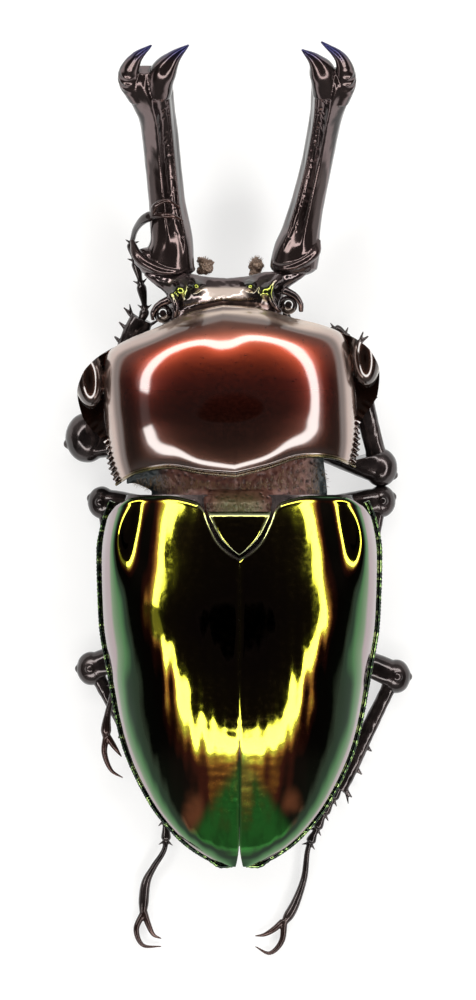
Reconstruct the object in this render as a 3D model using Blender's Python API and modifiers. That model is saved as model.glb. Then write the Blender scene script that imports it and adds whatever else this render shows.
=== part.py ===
"""A dried male rainbow stag beetle, life size, lying on its drawn-in legs.

Sizes are in millimetres and are turned into metres where a mesh is made. The head points
along -Y, the beetle's left side is +X, and the legs rest on the plane Z = 0.
"""

import math

import bmesh
import bpy
from mathutils import Matrix, Vector

MM = 0.001
GAP = 0.3  # between two pieces that touch on the real beetle
FLOOR = 0.0

# How the fore body and the head sit on the hind body of this dried specimen.
FORE_PIVOT = (0.05, -0.1)
FORE_YAW = math.radians(4.4)
HEAD_AT = (0.85, -14.3)
HEAD_YAW = math.radians(1.0)

# Wing cases: half width, crown height and rim height at distances along the body.
ELYTRA_END = 27.55
ELYTRA_HALF_WIDTH = (
    (-0.6, 9.6), (1.5, 10.4), (3.8, 10.75), (8.9, 10.6), (13.0, 9.95),
    (18.0, 8.96), (22.5, 6.97), (25.4, 4.7), (26.9, 2.7), (27.6, 1.1),
)
ELYTRA_CROWN = (
    (-2.0, 10.3), (0.0, 10.85), (2.0, 11.3), (6.0, 11.9), (9.0, 12.1), (12.0, 12.0), (15.0, 11.6),
    (18.3, 10.6), (21.0, 9.3), (24.0, 7.7), (25.4, 6.9), (26.3, 6.2), (27.0, 5.4), (27.6, 4.7),
)
ELYTRA_RIM = ((-2.0, 6.4), (4.0, 5.4), (13.0, 4.9), (20.0, 4.9), (25.0, 4.7), (27.6, 4.3))
ELYTRA_FRONT = (
    (0.0, 4.4), (0.22, 1.55), (0.28, 0.4), (0.36, -0.1), (0.58, -0.45),
    (0.84, -0.3), (0.95, 0.3), (1.0, 1.2),
)
ELYTRON_THICKNESS = 0.6
# The power of the arch across the wing cases: 2 is round, more is flatter on top.
ELYTRA_ARCH = ((0.0, 2.1), (4.0, 2.4), (8.5, 3.2), (12.0, 2.6), (15.0, 2.2), (27.6, 2.1))
SHOULDER_HUMP = 0.7
SHOULDER_AT = (0.86, 2.3)
SHOULDER_SPREAD = (0.12, 1.8)
SEAM = 0.15
MIDLINE = -0.1

# Pronotum: margins as distance ahead of the neck, against the share of the half width.
PRONOTUM_HIND = ((0.0, 1.66), (0.28, 2.1), (0.56, 2.75), (0.8, 2.6), (1.0, 1.75))
PRONOTUM_FRONT = ((0.0, 14.7), (0.3, 14.35), (0.6, 13.4), (0.85, 12.75), (1.0, 12.2))
PRONOTUM_SIDE = (
    (0.0, 9.0), (0.16, 9.45), (0.31, 9.6), (0.37, 10.0), (0.43, 10.6), (0.52, 11.15),
    (0.68, 11.4), (0.82, 10.9), (0.94, 9.6), (1.0, 8.4),
)
PRONOTUM_CROWN = (
    (0.0, 10.6), (0.1, 11.3), (0.3, 11.75), (0.5, 11.72), (0.7, 11.2), (0.88, 10.05), (1.0, 8.35),
)
PRONOTUM_ARCH = 2.6
PRONOTUM_EDGE = ((0.0, 7.0), (0.5, 6.3), (1.0, 6.2))
PRONOTUM_EDGE_THICKNESS = 0.6
PRONOTUM_BELOW = 0.9
LOBE_GROOVE_AT = 0.83
LOBE_GROOVE_DEPTH = 0.9
LOBE_GROOVE_WIDTH = 0.05
LOBE_LENGTH = ((0.3, 0.0), (0.5, 1.0), (0.88, 1.0), (1.0, 0.0))

# Underside.
BELLY = 2.75
THROAT = 3.0
METASTERNUM_END = 8.6
ABDOMEN_END = 26.0
STERNITE_GROOVES = (11.9, 14.9, 17.8, 20.7, 23.6)
GROOVE_DEPTH = 0.22
GROOVE_WIDTH = 0.45
BODY_SIDES = 22
BELLY_ARCH = 2.2
PROSTERNUM_SHARE = ((0.0, 0.72), (0.3, 0.84), (0.7, 0.8), (0.85, 0.62))
WAIST_HALF_WIDTH = 6.3
WAIST_TOP = 9.1
SCUTELLUM_HALF_WIDTH = (
    (-0.5, 2.5), (0.9, 2.4), (1.1, 2.25), (2.5, 1.4), (3.4, 0.75), (4.0, 0.08),
)
SCUTELLUM_THICKNESS = 0.5

# Head.
HEAD_SIDE = ((0.0, 4.5), (0.3, 4.75), (0.5, 4.75), (0.75, 5.4), (1.0, 6.0))
HEAD_FRONT = ((0.0, 2.5), (0.25, 2.65), (0.5, 2.95), (1.0, 2.95))
HEAD_CROWN = ((0.0, 7.9), (0.4, 7.7), (0.8, 7.1), (1.0, 6.6))
HEAD_EDGE = ((0.0, 5.6), (0.5, 5.6), (1.0, 5.9))
HEAD_BASE = 3.7
HEAD_ARCH = 2.8
BOSS_HEIGHT = 0.55
EYES = {"eye_L": (5.65, -14.2, 6.5), "eye_R": (-3.8, -14.85, 6.5)}
EYE_RADII = (0.68, 0.65, 0.62)
MENTUM_HALF_WIDTH = ((0.0, 1.5), (0.5, 2.3), (1.0, 1.9))
MOUTH_PLATE_THICKNESS = 0.55
GALEAE = {"galea_L": (2.45, -17.85, 4.4), "galea_R": (-1.4, -17.95, 4.4)}
GALEA_RADII = (0.48, 0.58, 0.42)
PALP_ROOT_AHEAD = 2.3
PALP_ROOT_HEIGHT = 2.45
# Palps: name, distance from the middle, length, segments and radius.
PALPS = (("maxillary", 1.2, 1.2, 3, 0.26), ("labial", 0.5, 0.8, 2, 0.25))

# Mandibles: (share of length, centre, half width, half height).
MANDIBLE_L = (
    (0.0, (5.3, -17.6, 5.3), 2.1, 1.75), (0.06, (5.1, -18.7, 5.4), 1.8, 1.85),
    (0.12, (4.95, -19.7, 5.5), 1.62, 1.75), (0.18, (5.1, -20.7, 5.65), 1.55, 1.6),
    (0.3, (5.35, -22.8, 6.1), 1.38, 1.45),
    (0.46, (5.65, -25.8, 7.3), 1.38, 1.35), (0.64, (5.95, -28.5, 9.0), 1.4, 1.3),
    (0.8, (6.4, -30.4, 10.7), 1.7, 1.25), (0.93, (6.8, -31.6, 11.8), 2.0, 1.15),
)
MANDIBLE_R = (
    (0.0, (-4.2, -17.75, 5.3), 1.8, 1.75), (0.09, (-4.45, -19.0, 5.4), 1.75, 1.85),
    (0.18, (-4.75, -20.5, 5.6), 1.45, 1.65), (0.3, (-5.3, -22.8, 6.1), 1.25, 1.45),
    (0.46, (-5.98, -25.8, 7.3), 1.18, 1.35), (0.64, (-6.48, -28.5, 9.0), 1.22, 1.3),
    (0.8, (-6.85, -30.4, 10.7), 1.5, 1.25), (0.93, (-7.1, -31.5, 11.8), 1.8, 1.15),
)
OUTER_PRONG_L = ((7.3, -30.4, 11.0), (8.3, -31.7, 12.1), (7.7, -33.1, 13.2), (6.44, -34.1, 14.0))
INNER_PRONG_L = ((6.0, -30.9, 11.2), (5.5, -32.2, 12.3), (4.7, -33.3, 13.0), (3.65, -34.1, 13.4))
OUTER_PRONG_R = ((-7.4, -30.2, 10.9), (-8.15, -31.5, 12.0), (-7.75, -33.1, 13.2), (-6.2, -34.35, 14.1))
INNER_PRONG_R = ((-6.7, -30.9, 11.2), (-6.4, -32.0, 12.2), (-5.7, -33.0, 12.9), (-4.74, -33.8, 13.2))
PRONG_RADII = ((0.0, 0.85), (0.35, 0.8), (0.7, 0.45), (1.0, 0.12))

# Legs: hip, knee and tibia tip, then the line of the foot, in millimetres.
LEGS = {
    "fore_L": {
        "coxa": 1.5, "hip": (4.2, -5.9, 1.5), "knee": (11.3, -4.85, 1.4), "knee_size": (1.7, 1.55),
        "tip": (7.25, -13.8, 3.0), "tibia": (0.6, 0.95), "teeth": 5, "outer": 1,
        "foot": ((7.05, -14.5, 3.1), (7.3, -16.2, 3.0), (7.65, -17.8, 3.0), (8.0, -19.1, 3.4),
                 (7.9, -19.95, 4.3), (7.65, -20.6, 5.5), (7.1, -21.2, 6.9), (6.3, -21.6, 7.95)),
        "claws": (((6.4, -21.5, 7.85), (6.2, -22.2, 8.6), (5.3, -22.6, 8.8), (4.3, -22.0, 8.3)),
                  ((6.4, -21.5, 7.85), (5.6, -21.5, 8.5), (4.8, -21.4, 8.5), (4.1, -21.1, 8.0))),
    },
    "fore_R": {
        "coxa": -1.5, "hip": (-4.2, -5.3, 1.5), "knee": (-10.7, -2.6, 1.2), "knee_size": (1.3, 1.35),
        "tip": (-8.35, -11.9, 2.2), "tibia": (0.75, 0.95), "teeth": 5, "outer": -1,
        "foot": ((-7.95, -12.75, 2.1), (-7.1, -12.95, 1.9), (-6.4, -12.2, 1.7), (-6.0, -11.0, 1.4),
                 (-5.9, -9.9, 1.2), (-5.8, -8.7, 1.0)),
        "claws": (((-5.8, -8.7, 1.0), (-5.9, -8.1, 0.9), (-5.6, -7.7, 0.7)),
                  ((-5.7, -8.7, 1.0), (-5.2, -8.2, 0.9), (-5.0, -7.8, 0.7))),
    },
    "mid_L": {
        "coxa": 1.3, "hip": (4.0, 1.2, 1.35), "knee": (10.2, 0.1, 1.0), "knee_size": (1.1, 1.15),
        "tip": (8.7, 9.2, 1.5), "tibia": (0.5, 0.62), "teeth": 3, "outer": 1,
        "foot": ((8.65, 9.8, 1.8), (8.8, 11.2, 2.9), (9.1, 12.8, 3.2), (9.5, 14.6, 3.1), (9.9, 16.4, 2.7),
                 (10.0, 17.8, 2.4)),
        "claws": (((9.95, 17.7, 2.4), (10.1, 19.0, 2.2), (9.6, 20.3, 1.9), (8.7, 20.9, 1.7)),
                  ((9.9, 17.7, 2.4), (9.3, 18.6, 2.4), (8.8, 19.3, 2.2))),
    },
    "mid_R": {
        "coxa": -1.3, "hip": (-4.0, 1.2, 1.35), "knee": (-10.75, 0.0, 1.0), "knee_size": (1.1, 1.15),
        "tip": (-9.0, 9.3, 1.5), "tibia": (0.5, 0.62), "teeth": 3, "outer": -1,
        "foot": ((-8.9, 9.9, 1.8), (-8.6, 11.3, 2.9), (-8.2, 12.9, 3.2), (-7.8, 14.6, 3.1), (-7.5, 16.2, 2.7),
                 (-7.3, 17.4, 2.4)),
        "claws": (((-7.3, 17.4, 2.4), (-7.5, 18.4, 2.3), (-7.2, 19.2, 2.1)),
                  ((-7.2, 17.4, 2.4), (-6.7, 18.1, 2.3), (-6.5, 18.8, 2.1))),
    },
    "hind_L": {
        "coxa": 1.5, "hip": (4.0, 10.3, 1.3), "knee": (11.0, 12.6, 1.0), "knee_size": (1.15, 1.15),
        "tip": (6.5, 20.4, 1.0), "tibia": (0.55, 0.68), "teeth": 3, "outer": 1,
        "foot": ((6.1, 21.1, 0.95), (5.8, 22.4, 0.85), (5.6, 23.8, 0.8), (5.45, 25.2, 0.8), (5.6, 26.4, 0.8),
                 (6.4, 27.7, 0.75), (7.0, 29.0, 0.7), (7.2, 31.3, 0.6)),
        "claws": (((7.15, 31.1, 0.6), (7.7, 32.4, 0.6), (7.2, 33.6, 0.45), (5.8, 33.7, 0.3)),
                  ((7.1, 31.1, 0.6), (6.8, 32.0, 0.7), (6.4, 32.8, 0.55), (5.8, 33.1, 0.4))),
    },
    "hind_R": {
        "coxa": -1.5, "hip": (-4.0, 10.4, 1.3), "knee": (-11.85, 13.2, 1.0), "knee_size": (1.15, 1.15),
        "tip": (-7.6, 21.8, 1.0), "tibia": (0.55, 0.68), "teeth": 3, "outer": -1,
        "foot": ((-7.2, 22.5, 0.95), (-6.6, 23.5, 0.85), (-6.1, 24.5, 0.8), (-5.6, 25.5, 0.8),
                 (-5.25, 26.5, 0.8), (-5.0, 28.5, 0.75), (-4.3, 30.5, 0.7), (-3.5, 31.9, 0.6)),
        "claws": (((-3.5, 31.8, 0.6), (-3.3, 33.3, 0.6), (-2.4, 34.2, 0.45), (-1.3, 33.7, 0.3)),
                  ((-3.4, 31.8, 0.6), (-2.7, 32.4, 0.7), (-2.0, 32.8, 0.55), (-1.3, 32.9, 0.4))),
    },
}
COXA_SIZES = ((0.0, 0.6, 0.9), (0.35, 1.05, 1.3), (0.8, 0.95, 1.2), (1.0, 0.85, 0.85))
FEMUR_HIP_SIZE = (0.85, 0.85)
FEMUR_STEPS = (0.0, 0.12, 0.3, 0.5, 0.7, 0.82, 0.9, 0.96, 1.0)
TIBIA_STEPS = (0.0, 0.06, 0.15, 0.4, 0.65, 0.88, 1.0)
KNEE_REACH = 2.5  # how far from the knee the femur is flattened, in knee widths
CLAW_RADII = ((0.0, 0.3), (0.4, 0.26), (1.0, 0.08))
TARSOMERE_RADIUS = 0.38
TARSOMERE_WAIST = 0.24
TOOTH_LENGTH = 0.95
TOOTH_RADIUS = 0.28

SHELL_FINISH = {"color": (0.05, 0.16, 0.06, 1), "metallic": 0.9, "roughness": 0.12}
DISC_FINISH = {"color": (0.22, 0.035, 0.02, 1), "metallic": 0.9, "roughness": 0.12}
HEAD_FINISH = {"color": (0.09, 0.045, 0.04, 1), "metallic": 0.8, "roughness": 0.18}
HORN_FINISH = {"color": (0.03, 0.018, 0.018, 1), "metallic": 0.3, "roughness": 0.15}
LEG_FINISH = {"color": (0.015, 0.01, 0.01, 1), "metallic": 0.2, "roughness": 0.2}
EYE_FINISH = {"color": (0.01, 0.008, 0.008, 1), "metallic": 0.0, "roughness": 0.08}
NECK_FINISH = {"color": (0.1, 0.03, 0.02, 1), "metallic": 0.2, "roughness": 0.6}
MOUTH_FINISH = {"color": (0.3, 0.2, 0.14, 1), "metallic": 0.0, "roughness": 0.9}


def clear_scene():
    for old in list(bpy.data.objects):
        bpy.data.objects.remove(old, do_unlink=True)


def smooth(stations, t):
    """The number at t on a line through the stations that never swings past them."""
    if t <= stations[0][0]:
        return stations[0][1]
    if t >= stations[-1][0]:
        return stations[-1][1]
    steps = [
        (b[1] - a[1]) / (b[0] - a[0]) for a, b in zip(stations, stations[1:])
    ]
    slopes = [steps[0]]
    for before, after in zip(steps, steps[1:]):
        slopes.append(0.0 if before * after <= 0 else 2 * before * after / (before + after))
    slopes.append(steps[-1])
    index = max(i for i in range(len(stations) - 1) if stations[i][0] <= t)
    span = stations[index + 1][0] - stations[index][0]
    s = (t - stations[index][0]) / span
    low = stations[index][1]
    high = stations[index + 1][1]
    return (
        low * (1 + 2 * s) * (1 - s) ** 2
        + slopes[index] * span * s * (1 - s) ** 2
        + high * s * s * (3 - 2 * s)
        + slopes[index + 1] * span * s * s * (s - 1)
    )


def along(points, t):
    """The point at share t of a smooth curve through the points."""
    line = [Vector(p) for p in points]
    line = [2 * line[0] - line[1]] + line + [2 * line[-1] - line[-2]]
    place = min(max(t, 0.0), 1.0) * (len(points) - 1)
    index = min(int(place), len(points) - 2)
    s = place - index
    a, b, c, d = line[index:index + 4]
    return 0.5 * (
        2 * b + (c - a) * s + (2 * a - 5 * b + 4 * c - d) * s * s + (3 * b - a - 3 * c + d) * s ** 3
    )


def turned(origin, yaw, x, ahead, z=0.0):
    """A point at x beside and so far ahead of an origin, on an axis turned by yaw."""
    return Vector((
        origin[0] + x * math.cos(yaw) + ahead * math.sin(yaw),
        origin[1] + x * math.sin(yaw) - ahead * math.cos(yaw),
        z,
    ))


def spread(count, low, high):
    """Count numbers from low to high, closest together at both ends."""
    middle = (low + high) / 2
    half = (high - low) / 2
    return [middle + half * math.sin(math.pi * (i / (count - 1) - 0.5)) for i in range(count)]


def even(count, low, high):
    return [low + (high - low) * i / (count - 1) for i in range(count)]


def new_finish(name, color, metallic, roughness):
    finish = bpy.data.materials.new(name)
    finish.use_nodes = True
    shader = finish.node_tree.nodes["Principled BSDF"]
    shader.inputs["Base Color"].default_value = color
    shader.inputs["Metallic"].default_value = metallic
    shader.inputs["Roughness"].default_value = roughness
    return finish


def new_object(name, body, finish, collection):
    """An object made from a bmesh in millimetres, coated with its own finish."""
    bmesh.ops.recalc_face_normals(body, faces=body.faces)
    bmesh.ops.scale(body, vec=(MM, MM, MM), verts=body.verts)
    mesh = bpy.data.meshes.new(name)
    body.to_mesh(mesh)
    body.free()
    mesh.shade_smooth()
    mesh.set_sharp_from_angle(angle=math.radians(40))
    mesh.materials.append(new_finish(name + "_finish", **finish))
    made = bpy.data.objects.new(name, mesh)
    collection.objects.link(made)
    return made


def grid_faces(body, rows, flip=False):
    """Triangles over a grid of vertices, split along the same diagonal everywhere."""
    for low, high in zip(rows, rows[1:]):
        for i in range(len(low) - 1):
            corners = (low[i], low[i + 1], high[i + 1], high[i])
            if flip:
                corners = corners[::-1]
                body.faces.new((corners[0], corners[1], corners[3]))
                body.faces.new((corners[1], corners[2], corners[3]))
            else:
                body.faces.new((corners[0], corners[1], corners[2]))
                body.faces.new((corners[0], corners[2], corners[3]))


def slab(top, bottom):
    """A closed body between an upper and a lower grid of points."""
    body = bmesh.new()
    upper = [[body.verts.new(p) for p in row] for row in top]
    lower = [[body.verts.new(p) for p in row] for row in bottom]
    grid_faces(body, upper)
    grid_faces(body, lower, flip=True)
    grid_faces(body, (upper[0], lower[0]))
    grid_faces(body, (upper[-1], lower[-1]))
    grid_faces(body, ([row[0] for row in upper], [row[0] for row in lower]))
    grid_faces(body, ([row[-1] for row in upper], [row[-1] for row in lower]))
    return body


def tube(rings):
    """A closed body through rings of equally many points, with a flat cap at each end."""
    body = bmesh.new()
    loops = [[body.verts.new(p) for p in ring] for ring in rings]
    for low, high in zip(loops, loops[1:]):
        for i in range(len(low)):
            after = (i + 1) % len(low)
            body.faces.new((low[i], low[after], high[after]))
            body.faces.new((low[i], high[after], high[i]))
    for loop in (loops[0], loops[-1]):
        bmesh.ops.triangulate(body, faces=[body.faces.new(loop)])
    return body


def ring(centre, direction, half_width, half_height, sides, power=2.0, up=(0, 0, 1)):
    """Points round a section that stands across a direction, its height turned to up."""
    ahead = Vector(direction).normalized()
    side = ahead.cross(Vector(up)).normalized()
    top = side.cross(ahead)
    points = []
    for k in range(sides):
        angle = 2 * math.pi * (k + 0.5) / sides
        across = math.copysign(abs(math.cos(angle)) ** (2 / power), math.cos(angle))
        high = math.copysign(abs(math.sin(angle)) ** (2 / power), math.sin(angle))
        points.append(Vector(centre) + side * across * half_width + top * high * half_height)
    return points


def limb(points, sizes, steps, sides, power=2.0, up=(0, 0, 1), first=None, last=None):
    """Rings along a smooth line; sizes gives (share, half width, half height) stations.

    Each ring keeps the turn of the one before it, and first and last may give the
    directions that the two end faces look along.
    """
    widths = [(s[0], s[1]) for s in sizes]
    heights = [(s[0], s[2]) for s in sizes]
    upright = Vector(up)
    rings = []
    for t in steps:
        here = along(points, t)
        direction = along(points, min(t + 0.02, 1.0)) - along(points, max(t - 0.02, 0.0))
        if t == steps[0] and first is not None:
            direction = Vector(first)
        if t == steps[-1] and last is not None:
            direction = Vector(last)
        direction.normalize()
        upright = (upright - direction * upright.dot(direction)).normalized()
        rings.append(ring(here, direction, smooth(widths, t), smooth(heights, t), sides, power, upright))
    return rings


def press(rings, point, normal):
    """Moves what lies past a plane back onto it, which leaves a flat there."""
    normal = Vector(normal).normalized()
    for row in rings:
        for p in row:
            past = (p - Vector(point)).dot(normal)
            if past > 0:
                p -= normal * past


def horn(points, radii, steps, sides, up=(0, 0, 1)):
    """A round, tapered spine, claw or tooth along a curve."""
    sizes = [(t, r, r) for t, r in radii]
    return tube(limb(points, sizes, even(steps, 0.0, 1.0), sides, 2.0, up))


def ball(centre, radii, segments=10, rings=7, turn=0.0):
    body = bmesh.new()
    bmesh.ops.create_uvsphere(body, u_segments=segments, v_segments=rings, radius=1.0)
    bmesh.ops.transform(body, matrix=Matrix.Diagonal((*radii, 1.0)), verts=body.verts)
    bmesh.ops.rotate(body, matrix=Matrix.Rotation(turn, 3, "Z"), verts=body.verts)
    bmesh.ops.translate(body, vec=Vector(centre), verts=body.verts)
    return body


def signed_volume(faces):
    total = 0.0
    for face in faces:
        a, b, c = (v.co for v in face.verts[:3])
        total += a.dot(b.cross(c)) / 6
    return total


def keep_largest(mesh):
    """Leaves only the closed surface that holds the most."""
    body = bmesh.new()
    body.from_mesh(mesh)
    bmesh.ops.triangulate(body, faces=body.faces)
    left = set(body.faces)
    shells = []
    while left:
        queue = [left.pop()]
        shell = set(queue)
        while queue:
            for edge in queue.pop().edges:
                for face in edge.link_faces:
                    if face in left:
                        left.discard(face)
                        shell.add(face)
                        queue.append(face)
        shells.append(shell)
    shells.sort(key=lambda shell: abs(signed_volume(shell)))
    for shell in shells[:-1]:
        bmesh.ops.delete(body, geom=list(shell), context="FACES")
    loose = [v for v in body.verts if not v.link_faces]
    bmesh.ops.delete(body, geom=loose, context="VERTS")
    body.to_mesh(mesh)
    body.free()


def fuse(name, bodies, finish, collection):
    """One closed body joined from overlapping closed bodies by a Boolean union."""
    joining = bpy.data.collections.new(name + "_joining")
    bpy.context.scene.collection.children.link(joining)
    base = new_object(name, bodies[0], finish, collection)
    for index, body in enumerate(bodies[1:]):
        helper = new_object(f"{name}_piece_{index}", body, finish, joining)
        helper.hide_render = True
        helper.display_type = "WIRE"
    union = base.modifiers.new("Join", "BOOLEAN")
    union.operation = "UNION"
    union.operand_type = "COLLECTION"
    union.collection = joining
    union.solver = "MANIFOLD"
    graph = bpy.context.evaluated_depsgraph_get()
    joined = bpy.data.meshes.new_from_object(base.evaluated_get(graph))
    base.modifiers.remove(union)
    keep_largest(joined)
    joined.shade_smooth()
    joined.set_sharp_from_angle(angle=math.radians(40))
    base.data = joined
    for helper in list(joining.objects):
        bpy.data.objects.remove(helper, do_unlink=True)
    bpy.data.collections.remove(joining)
    return base


def bump(value, centre, width):
    return math.exp(-(((value - centre) / width) ** 2))


def elytra_height(u, y, lower=0.0):
    """Height of the wing cases at share u of the half width, or of a layer below them."""
    rim = smooth(ELYTRA_RIM, y)
    rise = smooth(ELYTRA_CROWN, y) - lower - rim
    high = rim + rise * math.sqrt(max(0.0, 1 - u ** smooth(ELYTRA_ARCH, y)))
    if lower == 0:
        hump = SHOULDER_HUMP * bump(u, SHOULDER_AT[0], SHOULDER_SPREAD[0]) * (1 - u ** 12)
        high += hump * bump(y, SHOULDER_AT[1], SHOULDER_SPREAD[1])
    return high


def make_elytron(side, collection):
    """One wing case: an open domed sheet that Solidify thickens inwards."""
    rows = []
    for v in spread(20, -0.35, 1.0)[3:]:
        v = max(v, 0.0)
        row = []
        for s in even(14, 0.0, 1.0):
            u = math.sin(math.pi / 2 * s)
            front = smooth(ELYTRA_FRONT, u)
            y = front + (ELYTRA_END - front) * v
            x = SEAM + (smooth(ELYTRA_HALF_WIDTH, y) - SEAM) * u
            row.append(Vector((side * x + MIDLINE, y, elytra_height(u, y))))
        if not rows or (row[0] - rows[-1][0]).length > 0.05:
            rows.append(row)
    body = bmesh.new()
    verts = [[body.verts.new(p) for p in row] for row in rows]
    grid_faces(body, verts, flip=side < 0)
    made = new_object("elytron_L" if side > 0 else "elytron_R", body, SHELL_FINISH, collection)
    if made.data.polygons[20].normal.z < 0:
        made.data.flip_normals()
    shell = made.modifiers.new("Thickness", "SOLIDIFY")
    shell.thickness = ELYTRON_THICKNESS * MM
    shell.offset = -1
    return made


def hind_body_rings(places):
    """Sections of the body under the wing cases, flat-bellied and grooved between sternites."""
    rings = []
    for y in places:
        clear = ELYTRON_THICKNESS + GAP + 0.08
        clear += 0.17 if y < 4.2 else 0.6 * max(0.0, (y - 23.3) / 2.0) ** 2
        width = smooth(ELYTRA_HALF_WIDTH, y) - clear
        rim = smooth(ELYTRA_RIM, y) - 0.1
        belly = BELLY + GROOVE_DEPTH * sum(bump(y, g, 0.2) for g in STERNITE_GROOVES)
        belly += 1.2 * max(0.0, (y - 20.0) / 6.5) ** 2
        points = []
        for k in range(BODY_SIDES):
            angle = 2 * math.pi * (k + 0.5) / BODY_SIDES
            u = math.cos(angle)
            if angle < math.pi:
                z = elytra_height(abs(u), y, clear)
            else:
                z = rim - (rim - belly) * math.sqrt(1 - abs(u) ** BELLY_ARCH)
            points.append(Vector((width * u + MIDLINE, y, z)))
        rings.append(points)
    return rings


def make_hind_body(collection):
    places = even(8, -0.5, METASTERNUM_END)
    new_object("metasternum", tube(hind_body_rings(places)), LEG_FINISH, collection)
    places = [METASTERNUM_END + GAP]
    for groove in STERNITE_GROOVES:
        places += [groove - GROOVE_WIDTH, groove, groove + GROOVE_WIDTH]
    places += [24.9, 25.6, ABDOMEN_END]
    new_object("abdomen", tube(hind_body_rings(places)), LEG_FINISH, collection)


def make_scutellum(collection):
    """The small shield between the roots of the wing cases, with the hairy strip before it."""
    top = []
    bottom = []
    for y in (-0.5, 0.2, 0.9, 1.1, 1.8, 2.5, 3.2, 3.7, 4.0):
        width = smooth(SCUTELLUM_HALF_WIDTH, y)
        high = smooth(ELYTRA_CROWN, y) - (0.1 if y > 1 else 0.25)
        row = []
        for u in even(7, -1, 1):
            row.append(Vector((u * width + MIDLINE, y, high - 0.025 * (u * width) ** 2)))
        top.append(row)
        bottom.append([p - Vector((0, 0, SCUTELLUM_THICKNESS)) for p in row])
    new_object("scutellum", slab(top, bottom), SHELL_FINISH, collection)


def pronotum_margin(u, v):
    hind = smooth(PRONOTUM_HIND, abs(u))
    return hind + (smooth(PRONOTUM_FRONT, abs(u)) - hind) * v


def pronotum_point(u, v):
    """Upper face of the pronotum at share u of the half width and share v of the length."""
    edge = smooth(PRONOTUM_EDGE, v)
    rise = smooth(PRONOTUM_CROWN, v) - edge
    high = edge + rise * math.sqrt(max(0.0, 1 - abs(u) ** PRONOTUM_ARCH))
    beside_lobe = smooth(LOBE_LENGTH, v)
    high -= LOBE_GROOVE_DEPTH * bump(abs(u), LOBE_GROOVE_AT, LOBE_GROOVE_WIDTH) * beside_lobe
    return turned(FORE_PIVOT, FORE_YAW, u * smooth(PRONOTUM_SIDE, v), pronotum_margin(u, v), high)


def pronotum_below(u, v, lower=0.0):
    edge = smooth(PRONOTUM_EDGE, v) - PRONOTUM_EDGE_THICKNESS
    return edge - PRONOTUM_BELOW * (1 - u * u) - lower


def make_pronotum(collection):
    across = [math.sin(math.pi / 2 * s) for s in even(23, -1, 1)]
    top = [[pronotum_point(u, v) for u in across] for v in spread(13, 0, 1)]
    bottom = []
    for row, v in zip(top, spread(13, 0, 1)):
        bottom.append([Vector((p.x, p.y, pronotum_below(u, v))) for p, u in zip(row, across)])
    new_object("pronotum", slab(top, bottom), DISC_FINISH, collection)


def make_prosternum(collection):
    """The underside of the fore body, between the coxae and up to the pronotum's edge."""
    top = []
    bottom = []
    for v in even(9, 0.0, PROSTERNUM_SHARE[-1][0]):
        upper = []
        lower = []
        for u in even(13, -1, 1):
            inner = u * smooth(PROSTERNUM_SHARE, v)
            place = turned(
                FORE_PIVOT, FORE_YAW, inner * smooth(PRONOTUM_SIDE, v), pronotum_margin(inner, v)
            )
            high = pronotum_below(inner, v, GAP)
            low = high - 0.5 - (high - 0.5 - THROAT) * math.sqrt(max(0.0, 1 - abs(u) ** BELLY_ARCH))
            upper.append(Vector((place.x, place.y, high)))
            lower.append(Vector((place.x, place.y, low)))
        top.append(upper)
        bottom.append(lower)
    new_object("prosternum", slab(top, bottom), LEG_FINISH, collection)


def make_mesothorax(collection):
    """The hairy waist that shows between the pronotum and the wing cases."""
    top = []
    bottom = []
    for v in even(4, 0.0, 1.0):
        upper = []
        lower = []
        for u in even(15, -1, 1):
            x = u * WAIST_HALF_WIDTH
            front_ahead = smooth(PRONOTUM_HIND, abs(x) / PRONOTUM_SIDE[0][1]) - GAP - 0.05
            front = turned(FORE_PIVOT, FORE_YAW, x, front_ahead)
            place = front.lerp(Vector((x, -0.8, 0)), v)
            high = WAIST_TOP + 0.1 * v - 0.8 * abs(u) ** 3
            low = 5.0 - (5.0 - BELLY) * math.sqrt(max(0.0, 1 - abs(u) ** BELLY_ARCH))
            upper.append(Vector((place.x, place.y, high)))
            lower.append(Vector((place.x, place.y, low)))
        top.append(upper)
        bottom.append(lower)
    new_object("mesothorax", slab(top, bottom), NECK_FINISH, collection)


def head_place(u, v):
    """Plan position on the head, from the pronotum's front margin to the mandible roots."""
    x = u * smooth(HEAD_SIDE, v)
    neck_x = u * HEAD_SIDE[0][1]
    neck_ahead = smooth(PRONOTUM_FRONT, abs(neck_x) / PRONOTUM_SIDE[-1][1]) + GAP + 0.05
    behind = turned(FORE_PIVOT, FORE_YAW, neck_x, neck_ahead)
    before = turned(HEAD_AT, HEAD_YAW, x, smooth(HEAD_FRONT, abs(u)))
    there = behind.lerp(before, v)
    there.x = behind.x + (turned(HEAD_AT, HEAD_YAW, x, 0).x - behind.x) * min(1.0, 4 * v)
    return there


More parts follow.
